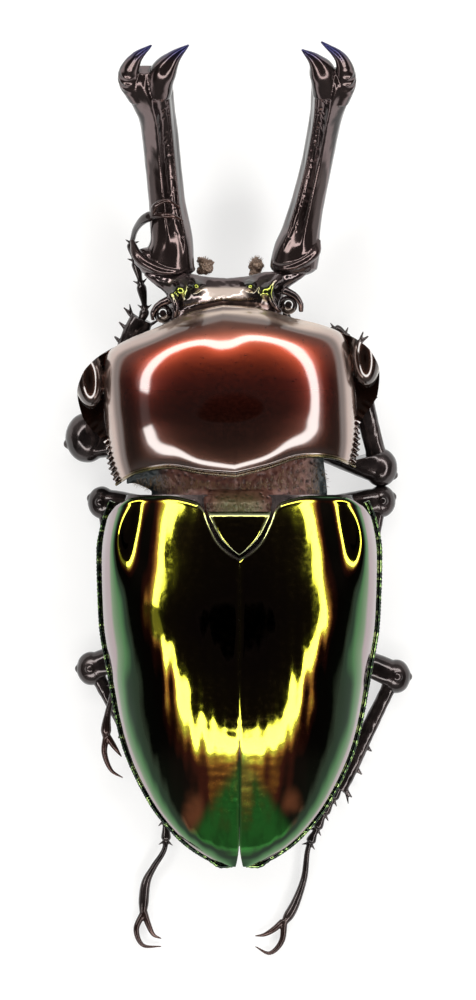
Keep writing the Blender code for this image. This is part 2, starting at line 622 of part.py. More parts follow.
def make_head(collection):
    top = []
    bottom = []
    for v in (0.0, 0.12, 0.25, 0.4, 0.5, 0.6, 0.72, 0.86, 1.0):
        upper = []
        lower = []
        for s in even(21, -1, 1):
            u = math.sin(math.pi / 2 * s)
            place = head_place(u, v)
            edge = smooth(HEAD_EDGE, v)
            rise = smooth(HEAD_CROWN, v) - edge
            high = edge + rise * math.sqrt(max(0.0, 1 - abs(u) ** HEAD_ARCH))
            high += BOSS_HEIGHT * bump(abs(u), 0.6, 0.2) * bump(v, 0.62, 0.22)
            low = edge - 0.6 - (edge - 0.6 - HEAD_BASE) * math.sqrt(max(0.0, 1 - abs(u) ** 2.4))
            upper.append(Vector((place.x, place.y, high)))
            lower.append(Vector((place.x, place.y, low)))
        top.append(upper)
        bottom.append(lower)
    head = new_object("head", slab(top, bottom), HEAD_FINISH, collection)
    cutters = bpy.data.collections.new("eye_cutters")
    bpy.context.scene.collection.children.link(cutters)
    for name, place in EYES.items():
        wider = [r + GAP for r in EYE_RADII]
        socket = new_object(name + "_socket", ball(place, wider, 12, 8), EYE_FINISH, cutters)
        socket.hide_render = True
        socket.display_type = "WIRE"
        new_object(name, ball(place, EYE_RADII, 12, 8), EYE_FINISH, collection)
    hollow = head.modifiers.new("Eye sockets", "BOOLEAN")
    hollow.operation = "DIFFERENCE"
    hollow.operand_type = "COLLECTION"
    hollow.collection = cutters


def mandible_centre(stations, share):
    return Vector([smooth([(s[0], s[1][axis]) for s in stations], share) for axis in range(3)])


def mandible_rings(stations):
    """Sections along a mandible: rounded, with a crest along the upper inner edge."""
    inner = -1 if stations[0][1][0] > 0 else 1
    rings = []
    for index, t in enumerate(even(15, 0.0, 1.0)):
        share = t * stations[-1][0]
        centre = mandible_centre(stations, share)
        ahead = mandible_centre(stations, share + 0.05) - mandible_centre(stations, share - 0.05)
        if index == 0:
            ahead = Vector((0, -1, 0))
        wide = smooth([(s[0], s[2]) for s in stations], share)
        high = smooth([(s[0], s[3]) for s in stations], share)
        points = ring(centre, ahead, wide, high, 16, 2.3)
        side = ahead.cross(Vector((0, 0, 1))).normalized()
        crest_up = side.cross(ahead.normalized())
        crest = (side * (0.5 if side.x * inner > 0 else -0.5) + crest_up).normalized()
        for p in points:
            lean = (p - centre).normalized().dot(crest)
            p += crest * (0.22 * max(0.0, lean) ** 8)
        rings.append(points)
    return rings


def make_mandible(name, stations, outer, inner, collection):
    pieces = [tube(mandible_rings(stations))]
    pieces.append(horn(outer, PRONG_RADII, 9, 8))
    pieces.append(horn(inner, PRONG_RADII, 9, 8))
    fuse(name, pieces, HORN_FINISH, collection)


def make_mouth(collection):
    """Mentum, labrum, the two brush lobes and the four short palps under the head."""
    make_mouth_plate("mentum", lambda v: smooth(MENTUM_HALF_WIDTH, v), 0.4, 1.5, collection)
    make_mouth_plate("labrum", lambda v: 1.35 - 0.5 * v * v, 2.15, 0.4, collection)
    for name, at in GALEAE.items():
        new_object(name, ball(at, GALEA_RADII, 10, 7), MOUTH_FINISH, collection)
    for side, name in ((1, "L"), (-1, "R")):
        for kind, aside, reach, beads, radius in PALPS:
            root = turned(HEAD_AT, HEAD_YAW, side * aside, PALP_ROOT_AHEAD, PALP_ROOT_HEIGHT)
            end = root + Vector((side * 0.05, reach, -0.15))
            line = (root, root.lerp(end, 0.5), end)
            make_feeler(kind + "_palp_" + name, line, beads, radius, collection)


def make_mouth_plate(name, half_at, start, reach, collection):
    """A thin plate under the head, from start to start + reach ahead of the neck."""
    top = []
    bottom = []
    for v in even(5, 0.0, 1.0):
        half = half_at(v)
        ahead = start + reach * v
        row = [turned(HEAD_AT, HEAD_YAW, u * half, ahead, HEAD_BASE - GAP) for u in even(7, -1, 1)]
        top.append(row)
        bottom.append([p - Vector((0, 0, MOUTH_PLATE_THICKNESS)) for p in row])
    new_object(name, slab(top, bottom), LEG_FINISH, collection)


def make_feeler(name, line, beads, radius, collection):
    """A short palp: swollen segments with waists between them."""
    sizes = []
    for bead in range(beads):
        sizes += [(bead / beads, radius * 0.75, radius * 0.75)]
        sizes += [((bead + 0.6) / beads, radius, radius)]
    sizes.append((1.0, radius * 0.5, radius * 0.5))
    new_object(name, tube(limb(line, sizes, even(3 * beads + 1, 0, 1), 8)), LEG_FINISH, collection)


def make_antenna(side, collection):
    """An elbowed feeler folded under the head: long scape, beaded stalk and leafy club."""
    scape = [
        turned(HEAD_AT, HEAD_YAW, side * x, a, z)
        for x, a, z in ((4.0, 2.3, 3.5), (4.3, 0.6, 3.0), (4.6, -1.0, 2.6))
    ]
    stalk = [
        turned(HEAD_AT, HEAD_YAW, side * x, a, z)
        for x, a, z in ((4.6, -1.1, 2.6), (4.2, -0.5, 2.3), (3.7, 0.3, 2.2), (3.0, 1.2, 2.1))
    ]
    beads = 5
    sizes = []
    for bead in range(beads):
        sizes += [(bead / beads, 0.2, 0.2), ((bead + 0.6) / beads, 0.33, 0.3)]
    sizes.append((1.0, 0.28, 0.26))
    pieces = [tube(limb(stalk, sizes, [s[0] for s in sizes], 8))]
    pieces.append(horn(scape, ((0.0, 0.28), (0.5, 0.27), (1.0, 0.36)), 5, 8))
    for leaf in range(4):
        at = stalk[-1] + Vector((-side * 0.24, -0.27, 0)) * leaf
        pieces.append(ball(at, (0.26, 0.67 - 0.04 * leaf, 0.34), 7, 5, math.radians(42 * side)))
    fuse("antenna_L" if side > 0 else "antenna_R", pieces, LEG_FINISH, collection)


def make_leg(name, leg, collection):
    """Coxa, femur, tibia and foot of one leg, each face to face with the one before it."""
    hip = Vector(leg["hip"])
    knee = Vector(leg["knee"])
    tip = Vector(leg["tip"])
    out = (knee - hip).normalized()
    down = (tip - knee).normalized()
    ceiling = THROAT - GAP if name.startswith("fore") else BELLY - GAP

    inner = Vector((leg["coxa"] * 0.75, hip.y - out.y * 2, hip.z + 0.1))
    outer = hip - out * GAP
    middle = inner.lerp(outer, 0.5)
    rings = limb((inner, middle, outer), COXA_SIZES, even(6, 0, 1), 10, 2.4, last=out)
    press(rings, (0, 0, ceiling), (0, 0, 1))
    press(rings, outer, out)
    new_object("coxa_" + name, tube(rings), LEG_FINISH, collection)

    wide, high = leg["knee_size"]
    end = knee + out * wide * 0.9
    sizes = (
        (0.0, FEMUR_HIP_SIZE[0], FEMUR_HIP_SIZE[1]), (0.35, wide, high * 0.92), (0.75, wide, high),
        (0.9, wide * 0.9, high * 0.9), (1.0, wide * 0.45, high * 0.5),
    )
    rings = limb((hip, hip.lerp(end, 0.5), end), sizes, FEMUR_STEPS, 12, 2.3)
    press(rings, (0, 0, ceiling - 0.05), (0, 0, 1))
    press(rings, hip, -out)
    by_knee = []
    for row in rings:
        middle = (row[0] + row[len(row) // 2]) / 2
        if (middle - knee).length < KNEE_REACH * wide:
            by_knee.append(row)
    press(by_knee, knee + down * wide * 0.85, down)
    press(rings, (0, 0, FLOOR), (0, 0, -1))
    new_object("femur_" + name, tube(rings), LEG_FINISH, collection)

    start = knee + down * (wide * 0.85 + GAP)
    thin, broad = leg["tibia"]
    length = (tip - start).length
    sizes = (
        (0.0, thin * 1.2, thin * 1.1), (0.08, thin, thin * 0.9),
        (0.9, broad, thin * 0.95), (1.0, broad * 0.9, thin * 0.8),
    )
    rings = limb((start, start.lerp(tip, 0.5), tip), sizes, TIBIA_STEPS, 10, 2.4)
    press(rings, (0, 0, FLOOR), (0, 0, -1))
    press(rings, start, -down)
    press(rings, tip, down)
    pieces = [tube(rings)]
    across = down.cross(Vector((0, 0, 1))).normalized()
    across *= leg["outer"] if across.x > 0 else -leg["outer"]
    for tooth in range(leg["teeth"]):
        share = 0.97 - 0.62 * tooth / max(1, leg["teeth"])
        reach = TOOTH_LENGTH * (1.0 - 0.13 * tooth) * (1.0 if name.startswith("fore") else 0.75)
        half = smooth(((0.0, thin), (0.9, broad)), share)
        root = start + down * length * share + across * (half * 0.35)
        tooth_tip = root + across * (half * 0.6 + reach * 0.75) + down * reach * 0.5
        tooth_tip.z = max(tooth_tip.z, 0.15)
        line = (root, root.lerp(tooth_tip, 0.5), tooth_tip)
        pieces.append(horn(line, ((0.0, TOOTH_RADIUS), (1.0, 0.07)), 3, 6))
    for spur in (-1, 1):
        root = tip - down * 0.45 + across * spur * broad * 0.6
        line = (root, root + down * 0.6 + across * spur * 0.4, root + down * 1.1 + across * spur * 0.75)
        pieces.append(horn(line, ((0.0, 0.2), (1.0, 0.06)), 3, 6))
    fuse("tibia_" + name, pieces, LEG_FINISH, collection)
    make_foot(name, leg, tip, down, collection)


def make_foot(name, leg, tip, down, collection):
    """Five tarsomeres, the last one long, with a pair of claws."""
    start = tip + down * GAP
    line = [start] + list(leg["foot"])
    pieces = []
    last = 0.56 if len(leg["foot"]) > 6 else 0.6
    sizes = []
    short = 4
    for joint in range(short):
        base = last * joint / short
        sizes.append((base, TARSOMERE_WAIST, TARSOMERE_WAIST))
        sizes.append((base + 0.75 * last / short, TARSOMERE_RADIUS, TARSOMERE_RADIUS * 0.9))
    sizes.append((last, TARSOMERE_WAIST, TARSOMERE_WAIST))
    sizes += [(last + 0.2, 0.27, 0.27), (0.94, 0.4, 0.38), (1.0, 0.3, 0.3)]
    steps = sorted({s[0] for s in sizes} | {last + 0.1, last + 0.3, 0.98})
    rings = limb(line, sizes, steps, 8, first=down)
    press(rings, (0, 0, FLOOR + 0.02), (0, 0, -1))
    press(rings[:2], start, -down)
    pieces.append(tube(rings))
    for claw in leg["claws"]:
        hook = limb(claw, [(t, r, r) for t, r in CLAW_RADII], even(6, 0, 1), 6)
        press(hook, (0, 0, FLOOR + 0.02), (0, 0, -1))
        pieces.append(tube(hook))
    fuse("tarsus_" + name, pieces, LEG_FINISH, collection)


def main():
    clear_scene()
    beetle = bpy.data.collections.new("rainbow_stag_beetle")
    bpy.context.scene.collection.children.link(beetle)
    make_elytron(1, beetle)
    make_elytron(-1, beetle)
    make_hind_body(beetle)
    make_scutellum(beetle)
    make_pronotum(beetle)
    make_prosternum(beetle)
    make_mesothorax(beetle)
    make_head(beetle)
    make_mandible("mandible_L", MANDIBLE_L, OUTER_PRONG_L, INNER_PRONG_L, beetle)
    make_mandible("mandible_R", MANDIBLE_R, OUTER_PRONG_R, INNER_PRONG_R, beetle)
    make_mouth(beetle)
    make_antenna(1, beetle)
    make_antenna(-1, beetle)
    for name, leg in LEGS.items():
        make_leg(name, leg, beetle)


main()
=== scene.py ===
# %% [markdown]
# # A rainbow stag beetle at life size
# A plain solid model of a dried male rainbow stag beetle gives every true size and place.
# This lesson builds each part of the shell again over it with a finer surface, rims, grain,
# spines and hairs, and gives it a finish that is drawn by nodes alone.
# The solids are loaded first and are never moved, so the two always agree.

# %% Load the solid model
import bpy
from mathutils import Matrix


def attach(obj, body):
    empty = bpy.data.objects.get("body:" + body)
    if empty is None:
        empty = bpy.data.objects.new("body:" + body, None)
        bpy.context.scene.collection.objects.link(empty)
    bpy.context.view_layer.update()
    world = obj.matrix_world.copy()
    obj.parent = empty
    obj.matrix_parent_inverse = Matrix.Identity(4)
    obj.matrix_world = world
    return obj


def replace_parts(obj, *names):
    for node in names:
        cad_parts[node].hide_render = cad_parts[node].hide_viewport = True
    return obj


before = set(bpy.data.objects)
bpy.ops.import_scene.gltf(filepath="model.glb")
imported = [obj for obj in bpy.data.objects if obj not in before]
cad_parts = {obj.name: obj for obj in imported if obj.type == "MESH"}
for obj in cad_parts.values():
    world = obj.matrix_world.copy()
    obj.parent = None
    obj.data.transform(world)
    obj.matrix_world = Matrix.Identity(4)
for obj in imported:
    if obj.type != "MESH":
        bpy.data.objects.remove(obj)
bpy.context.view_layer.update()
print("the solid model has", len(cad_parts), "parts")

# %% Units and tools
import math
import random

import bmesh
import bpy
from mathutils import Matrix, Vector, noise
from mathutils.kdtree import KDTree

MM = 0.001
chance = random.Random(11)
print("sizes below are in millimetres")

# %% [markdown]
# ## Camera and light
# The photo looks straight down, with the mandibles at the top of the picture, so the camera
# hangs far above the beetle with a long lens, which keeps heights from spreading the outline.
# A mirror-like shell shows the room around it. The room is a light tent: a dim ceiling with a
# dark round hole for the lens, a bright ring of lamps with a gap at one side, dim walls that
# glow along their foot, and a pale floor. A world drawn by nodes gives that room with clean
# reflections and soft shadows.

# %% Camera straight above
VIEW_CENTRE = (0.0, -0.11)
VIEW_HEIGHT = 75.3
CAMERA_RISE = 1000.0
MIDDLE_HEIGHT = 6.0
SENSOR = 36.0

lens_holder = bpy.data.cameras.new("top_camera")
lens_holder.sensor_fit = "VERTICAL"
lens_holder.sensor_height = SENSOR
lens_holder.lens = SENSOR * (CAMERA_RISE - MIDDLE_HEIGHT) / VIEW_HEIGHT
camera = bpy.data.objects.new("top_camera", lens_holder)
camera.location = Vector((*VIEW_CENTRE, CAMERA_RISE)) * MM
camera.rotation_euler = (0, 0, math.pi)
bpy.context.scene.collection.objects.link(camera)
bpy.context.scene.camera = camera
bpy.context.scene.view_settings.view_transform = "Standard"
print("camera height in metres:", round(camera.location.z, 2))


# %% Node helper for finishes and the tent
class Drawing:
    """Adds nodes to a material or a world and joins them as they are named."""

    def __init__(self, owner):
        owner.use_nodes = True
        self.tree = owner.node_tree

    def feed(self, socket, value):
        if isinstance(value, bpy.types.NodeSocket):
            self.tree.links.new(value, socket)
        elif value is not None:
            socket.default_value = value

    def node(self, kind, *inputs, out=0, **settings):
        made = self.tree.nodes.new("ShaderNode" + kind)
        for key, value in settings.items():
            setattr(made, key, value)
        for socket, value in zip(made.inputs, inputs):
            self.feed(socket, value)
        return made.outputs[out]

    def calc(self, operation, *values):
        return self.node("Math", *values, operation=operation)

    def span(self, value, low, high, to_low=0.0, to_high=1.0):
        """Turns a range into another with soft ends."""
        return self.node("MapRange", value, low, high, to_low, to_high, interpolation_type="SMOOTHSTEP")

    def mix(self, share, first, second, blend_type="MIX"):
        return self.node("MixRGB", share, first, second, blend_type=blend_type)

    def ramp(self, value, stops):
        made = self.tree.nodes.new("ShaderNodeValToRGB")
        elements = made.color_ramp.elements
        while len(elements) < len(stops):
            elements.new(0.5)
        for element, (place, color) in zip(elements, stops):
            element.position = place
            element.color = (*color, 1.0)
        self.feed(made.inputs[0], value)
        return made.outputs[0]

    def parts(self, vector):
        made = self.tree.nodes.new("ShaderNodeSeparateXYZ")
        self.feed(made.inputs[0], vector)
        return made.outputs


print("drawing steps:", ", ".join(step for step in vars(Drawing) if not step.startswith("_")))

# %% The light tent
LENS_ANGLE = 8.5
RING = (39.5, 49.5)
RING_LIGHT = 7.5
SKIRT_END = 58.0
SKIRT_LIGHT = 0.8
GAP_AT = 5.0
GAP_HALF = 15.0
CEILING_LIGHT = 0.03
LENS_RIM = 0.05
WALL_LIGHT = 0.04
HORIZON_GLOW = 0.85
FRONT_GLOW = 0.22
REAR_GLOW = 0.2

tent = bpy.data.worlds.new("light_tent")
draw = Drawing(tent)
ways = draw.parts(draw.node("TexCoord", out=0))
degrees = draw.calc("MULTIPLY", draw.calc("ARCCOSINE", ways[2]), 180 / math.pi)
around = draw.calc("MULTIPLY", draw.calc("ARCTAN2", ways[1], ways[0]), 180 / math.pi)
toward_head = draw.calc("MULTIPLY", ways[1], -1.0)
ceiling = draw.ramp(draw.calc("MULTIPLY", degrees, 1 / 90), [
    (0.0, (0, 0, 0)), ((LENS_ANGLE - 1.2) / 90, (0, 0, 0)), (LENS_ANGLE / 90, (LENS_RIM,) * 3),
    ((LENS_ANGLE + 1.2) / 90, (CEILING_LIGHT,) * 3), (0.6, (WALL_LIGHT,) * 3), (0.93, (0.05,) * 3),
    (0.985, (HORIZON_GLOW,) * 3),
])
front_low = draw.span(degrees, 20.0, 56.0, 0.0, FRONT_GLOW)
front_glow = draw.calc("MULTIPLY", draw.span(toward_head, 0.15, 0.6), front_low)
rear_low = draw.span(degrees, 50.0, 62.0, 0.0, REAR_GLOW)
rear_glow = draw.calc("MULTIPLY", draw.span(ways[1], 0.5, 0.85), rear_low)
from_gap = draw.calc("ABSOLUTE", draw.calc("SUBTRACT", around, GAP_AT))
lamps_on = draw.span(from_gap, GAP_HALF, GAP_HALF + 4.0, 0.03, 1.0)
inner_edge = draw.span(degrees, RING[0] - 1.0, RING[0] + 1.0)
outer_edge = draw.span(degrees, RING[1] - 1.0, RING[1] + 1.0, RING_LIGHT, 0.0)
ring_band = draw.calc("MULTIPLY", inner_edge, outer_edge)
skirt = draw.calc("MULTIPLY", inner_edge, draw.span(degrees, RING[1], SKIRT_END, SKIRT_LIGHT, 0.0))
lamps = draw.calc("MULTIPLY", draw.calc("ADD", ring_band, skirt), lamps_on)
light = draw.calc("ADD", draw.calc("ADD", ceiling, lamps), draw.calc("ADD", front_glow, rear_glow))
background = tent.node_tree.nodes["Background"]
background.inputs["Color"].default_value = (1.0, 0.985, 0.96, 1)
draw.feed(background.inputs["Strength"], light)
bpy.context.scene.world = tent
print("ring of lamps at", RING, "degrees from straight up")

# %% Pale floor
FLOOR_GLOW = 0.68
FLOOR_REACH = 1.5

floor_mesh = bpy.data.meshes.new("floor")
corners = [(x * FLOOR_REACH, y * FLOOR_REACH, 0) for x, y in ((-1, -1), (1, -1), (1, 1), (-1, 1))]
floor_mesh.from_pydata(corners, [], [(0, 1, 2, 3)])
floor = bpy.data.objects.new("floor", floor_mesh)
bpy.context.scene.collection.objects.link(floor)
paper = bpy.data.materials.new("floor_paper")
draw = Drawing(paper)
shader = paper.node_tree.nodes["Principled BSDF"]
shader.inputs["Roughness"].default_value = 0.9
shader.inputs["Specular IOR Level"].default_value = 0.1
shader.inputs["Emission Color"].default_value = (1, 0.997, 0.99, 1)
shader.inputs["Emission Strength"].default_value = FLOOR_GLOW
fibres = draw.node("TexNoise", draw.node("TexCoord", out=3), None, 300.0, 2.0)
paper_tone = draw.ramp(fibres, [(0.3, (0.32, 0.32, 0.32)), (0.7, (0.34, 0.34, 0.34))])
draw.feed(shader.inputs["Base Color"], paper_tone)
floor.data.materials.append(paper)
print("floor laid, half width in metres:", FLOOR_REACH)

# %% [markdown]
# ## Curves and surfaces
# A beetle's shell is made of smooth domes and tapered tubes. Domes are drawn as a grid of
# points whose height comes from a few named stations along the body, joined by a curve that
# never swings past them. Limbs are rings of points along a smooth line. Both are closed
# meshes, so they can be thickened, blended and exported without holes.


# %% Curves through named stations
def smooth(stations, t):
    """The number at t on a line through the stations that never swings past them."""
    if t <= stations[0][0]:
        return stations[0][1]
    if t >= stations[-1][0]:
        return stations[-1][1]
    steps = [(b[1] - a[1]) / (b[0] - a[0]) for a, b in zip(stations, stations[1:])]
    slopes = [steps[0]]
    for before, after in zip(steps, steps[1:]):
        slopes.append(0.0 if before * after <= 0 else 2 * before * after / (before + after))
    slopes.append(steps[-1])
    index = max(i for i in range(len(stations) - 1) if stations[i][0] <= t)
    span = stations[index + 1][0] - stations[index][0]
    s = (t - stations[index][0]) / span
    return (
        stations[index][1] * (1 + 2 * s) * (1 - s) ** 2
        + slopes[index] * span * s * (1 - s) ** 2
        + stations[index + 1][1] * s * s * (3 - 2 * s)
        + slopes[index + 1] * span * s * s * (s - 1)
    )


def soft(stations, t, reach):
    """The same line with its bends spread out, so that a mirror finish shows no kinks."""
    weights = ((-1.0, 1), (-0.5, 3), (0.0, 4), (0.5, 3), (1.0, 1))
    first, last = stations[0][0], stations[-1][0]
    close = min(reach, t - first, last - t) if first < t < last else 0.0
    return sum(w * smooth(stations, t + close * step) for step, w in weights) / 12


def along(points, t):
    """The point at share t of a smooth curve through the points."""
    line = [Vector(p) for p in points]
    line = [2 * line[0] - line[1]] + line + [2 * line[-1] - line[-2]]
    place = min(max(t, 0.0), 1.0) * (len(points) - 1)
    index = min(int(place), len(points) - 2)
    s = place - index
    a, b, c, d = line[index:index + 4]
    return 0.5 * (
        2 * b + (c - a) * s + (2 * a - 5 * b + 4 * c - d) * s * s + (3 * b - a - 3 * c + d) * s ** 3
    )


def even(count, low=0.0, high=1.0):
    return [low + (high - low) * i / (count - 1) for i in range(count)]


def spread(count, low=0.0, high=1.0):
    """Count numbers from low to high, closest together at both ends."""
    return [(low + high) / 2 - (high - low) / 2 * math.cos(math.pi * i / (count - 1)) for i in range(count)]


print("half way along a line from 0 to 4:", smooth(((0, 0), (1, 4)), 0.5))


# %% Bumps, arches, creases and ripples
def bump(value, centre, width):
    return math.exp(-(((value - centre) / width) ** 2))


def arch(u, edge, crown, power):
    """Height across a body, from the crown in its middle to the edge where u is 1."""
    return edge + (crown - edge) * math.sqrt(max(0.0, 1 - abs(u) ** power))


def rise_between(value, low, high):
    s = max(0.0, min(1.0, (value - low) / (high - low)))
    return s * s * (3 - 2 * s)


def higher(first, second, sharpness=9.0):
    """The higher of two heights, with a soft crease where they meet."""
    top = max(first, second)
    weights = [math.exp(sharpness * (value - top)) for value in (first, second)]
    return top + math.log(weights[0] + weights[1]) / sharpness


def ripple(point, across, lengthwise, seed=0.0):
    """Soft unevenness, with its own pitch across and along the body."""
    return noise.noise(Vector((point[0] / across, point[1] / lengthwise, point[2] / across + seed)))


print("height of a round arch half way to its edge:", round(arch(0.5, 0.0, 1.0, 2.0), 3))


# %% Closed grids and tubes
def grid_faces(body, rows, flip=False):
    for low, high in zip(rows, rows[1:]):
        for i in range(len(low) - 1):
            corners = (low[i], low[i + 1], high[i + 1], high[i])
            body.faces.new(corners[::-1] if flip else corners)


def slab(top, bottom):
    """A closed body between an upper and a lower grid of points."""
    body = bmesh.new()
    upper = [[body.verts.new(p) for p in row] for row in top]
    lower = [[body.verts.new(p) for p in row] for row in bottom]
    grid_faces(body, upper)
    grid_faces(body, lower, flip=True)
    for pair in ((upper[0], lower[0]), (upper[-1], lower[-1])):
        grid_faces(body, pair)
    for side in (0, -1):
        grid_faces(body, ([row[side] for row in upper], [row[side] for row in lower]))
    bmesh.ops.recalc_face_normals(body, faces=body.faces)
    return body


def slab_between(lengths, across, layers):
    """A slab whose plan place, upper height and lower height come from layers(u, v)."""
    top, bottom = [], []
    for v in lengths:
        row = [layers(u, v) for u in across]
        top.append([Vector((place.x, place.y, high)) for place, high, low in row])
        bottom.append([Vector((place.x, place.y, low)) for place, high, low in row])
    return slab(top, bottom)


def tube(rings):
    """A closed body through rings of equally many points."""
    body = bmesh.new()
    loops = [[body.verts.new(p) for p in points] for points in rings]
    for low, high in zip(loops, loops[1:]):
        grid_faces(body, (low + low[:1], high + high[:1]))
    for loop in (loops[0], loops[-1]):
        body.faces.new(loop)
    bmesh.ops.recalc_face_normals(body, faces=body.faces)
    return body


print("tools for closed bodies: slab, slab_between, tube")


# %% Limbs, horns and balls
def ring(centre, direction, half_width, half_height, sides, power=2.0, up=(0, 0, 1)):
    """Points round a section that stands across a direction."""
    ahead = Vector(direction).normalized()
    side = ahead.cross(Vector(up)).normalized()
    top = side.cross(ahead)
    points = []
    for k in range(sides):
        angle = 2 * math.pi * (k + 0.5) / sides
        across = math.copysign(abs(math.cos(angle)) ** (2 / power), math.cos(angle))
        high = math.copysign(abs(math.sin(angle)) ** (2 / power), math.sin(angle))
        points.append(Vector(centre) + side * across * half_width + top * high * half_height)
    return points


def limb(points, sizes, steps, sides, power=2.0, up=(0, 0, 1), first=None, last=None):
    """Rings along a smooth line; sizes gives (share, half width, half height) stations."""
    widths = [(s[0], s[1]) for s in sizes]
    heights = [(s[0], s[2]) for s in sizes]
    upright = Vector(up)
    rings = []
    for t in steps:
        here = along(points, t)
        direction = along(points, min(t + 0.02, 1.0)) - along(points, max(t - 0.02, 0.0))
        if t == steps[0] and first is not None:
            direction = Vector(first)
        if t == steps[-1] and last is not None:
            direction = Vector(last)
        direction.normalize()
        upright = (upright - direction * upright.dot(direction)).normalized()
        rings.append(ring(here, direction, smooth(widths, t), smooth(heights, t), sides, power, upright))
    return rings


def press(rings, point, normal):
    """Moves what lies past a plane back onto it, which leaves a flat there."""
    normal = Vector(normal).normalized()
    for row in rings:
        for p in row:
            past = (p - Vector(point)).dot(normal)
            if past > 0:
                p -= normal * past


def horn(points, radii, steps=8, sides=10):
    """A round, tapered spine, claw or ridge along a curve."""
    return tube(limb(points, [(t, r, r) for t, r in radii], even(steps), sides))


def ball(centre, radii, segments=24, rings=16, turn=0.0):
    body = bmesh.new()
    bmesh.ops.create_uvsphere(body, u_segments=segments, v_segments=rings, radius=1.0)
    bmesh.ops.transform(body, matrix=Matrix.Diagonal((*radii, 1.0)), verts=body.verts)
    bmesh.ops.rotate(body, matrix=Matrix.Rotation(turn, 3, "Z"), verts=body.verts)
    bmesh.ops.translate(body, vec=Vector(centre), verts=body.verts)
    return body


print("a small tube has", len(horn(((0, 0, 0), (0, 0, 1)), ((0, 1), (1, 0.5))).faces), "faces")


# %% Pieces that ride on the beetle
def join(bodies):
    """One mesh from several bodies, still in millimetres."""
    mesh = bpy.data.meshes.new("joined")
    whole = bmesh.new()
    for body in bodies:
        body.to_mesh(mesh)
        body.free()
        whole.from_mesh(mesh)
    whole.to_mesh(mesh)
    whole.free()
    return mesh


def melted(mesh, grain, rounds):
    """Melts overlapping bodies into one skin with soft joints, by remeshing and smoothing."""
    lump = bpy.data.objects.new("lump", mesh)
    bpy.context.scene.collection.objects.link(lump)
    skin = lump.modifiers.new("Skin", "REMESH")
    skin.mode = "VOXEL"
    skin.voxel_size = grain
    even_out = lump.modifiers.new("Soft", "SMOOTH")
    even_out.factor = 0.5
    even_out.iterations = rounds
    graph = bpy.context.evaluated_depsgraph_get()
    skinned = bpy.data.meshes.new_from_object(lump.evaluated_get(graph))
    bpy.data.objects.remove(lump)
    return skinned


def moved(mesh, shift):
    """Moves every vertex by what shift says for its place and normal, in millimetres."""
    mesh.update()
    normals = [v.normal.copy() for v in mesh.vertices]
    for vertex, normal in zip(mesh.vertices, normals):
        vertex.co += shift(vertex.co, normal)
    return mesh


def paint(mesh, name, amount):
    """Stores a number from 0 to 1 on each vertex for a finish to read; amount is a list or a function."""
    layer = mesh.attributes.new(name, "FLOAT", "POINT")
    for vertex, value in zip(mesh.vertices, layer.data):
        value.value = amount(vertex.co) if callable(amount) else amount[vertex.index]
    return mesh


def piece(name, mesh, finish, sharp=60):
    """A finished part that rides on the beetle."""
    mesh.transform(Matrix.Scale(MM, 4))
    mesh.name = name
    mesh.shade_smooth()
    mesh.set_sharp_from_angle(angle=math.radians(sharp))
    mesh.materials.clear()
    mesh.materials.append(finish)
    made = bpy.data.objects.new(name, mesh)
    bpy.context.scene.collection.objects.link(made)
    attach(made, "root")
    print(f"{name}: {len(mesh.polygons)} faces")
    return made


def shell(node, mesh, finish, sharp=60):
    """A finished part that stands for one of the solids."""
    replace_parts(piece(node + "_shell", mesh, finish, sharp), node)


# %% [markdown]
# ## Finishes
# The colours of this beetle come from thin layers in the shell, so they change with the
# slope of the surface. On the wing cases a level top is brown and a gentle slope is gold with
# a red edge, then comes dark green, and the steep sides are a pale grey. These bands are partly
# the shell's own colour and partly painted reflection: each sits at the slope where, seen from
# straight above, the ring of lamps, the dim walls or the pale floor is mirrored. The slope is
# read from the surface normal, so each colour keeps its place from any side. Horn and legs are
# a black-brown gloss. The horn has a band of painted pale reflection, and the legs have
# painted shade where they face sideways or down.


# %% A finish with its plain values set on the shader
def finish(name, **values):
    made = bpy.data.materials.new(name)
    drawn = Drawing(made)
    shader = made.node_tree.nodes["Principled BSDF"]
    for socket, value in values.items():
        shader.inputs[socket.replace("_", " ")].default_value = value
    place = drawn.node("TexCoord", out=3)
    return made, drawn, shader, place


def lengthwise_streaks(drawn, place):
    """Noise that is drawn out along the body."""
    stretched = drawn.node("Mapping", place, None, None, (900, 130, 500))
    return drawn.node("TexNoise", stretched, None, 1.0, 3.0)


def grain_bump(drawn, shader, height, strength, distance):
    drawn.feed(shader.inputs["Normal"], drawn.node("Bump", strength, distance * MM, 1.0, height))


# %% Wing case finish
WEDGE_START = 19.0
WEDGE_SLOPE = 0.62
COPPER_AT = (3.7, 23.2)


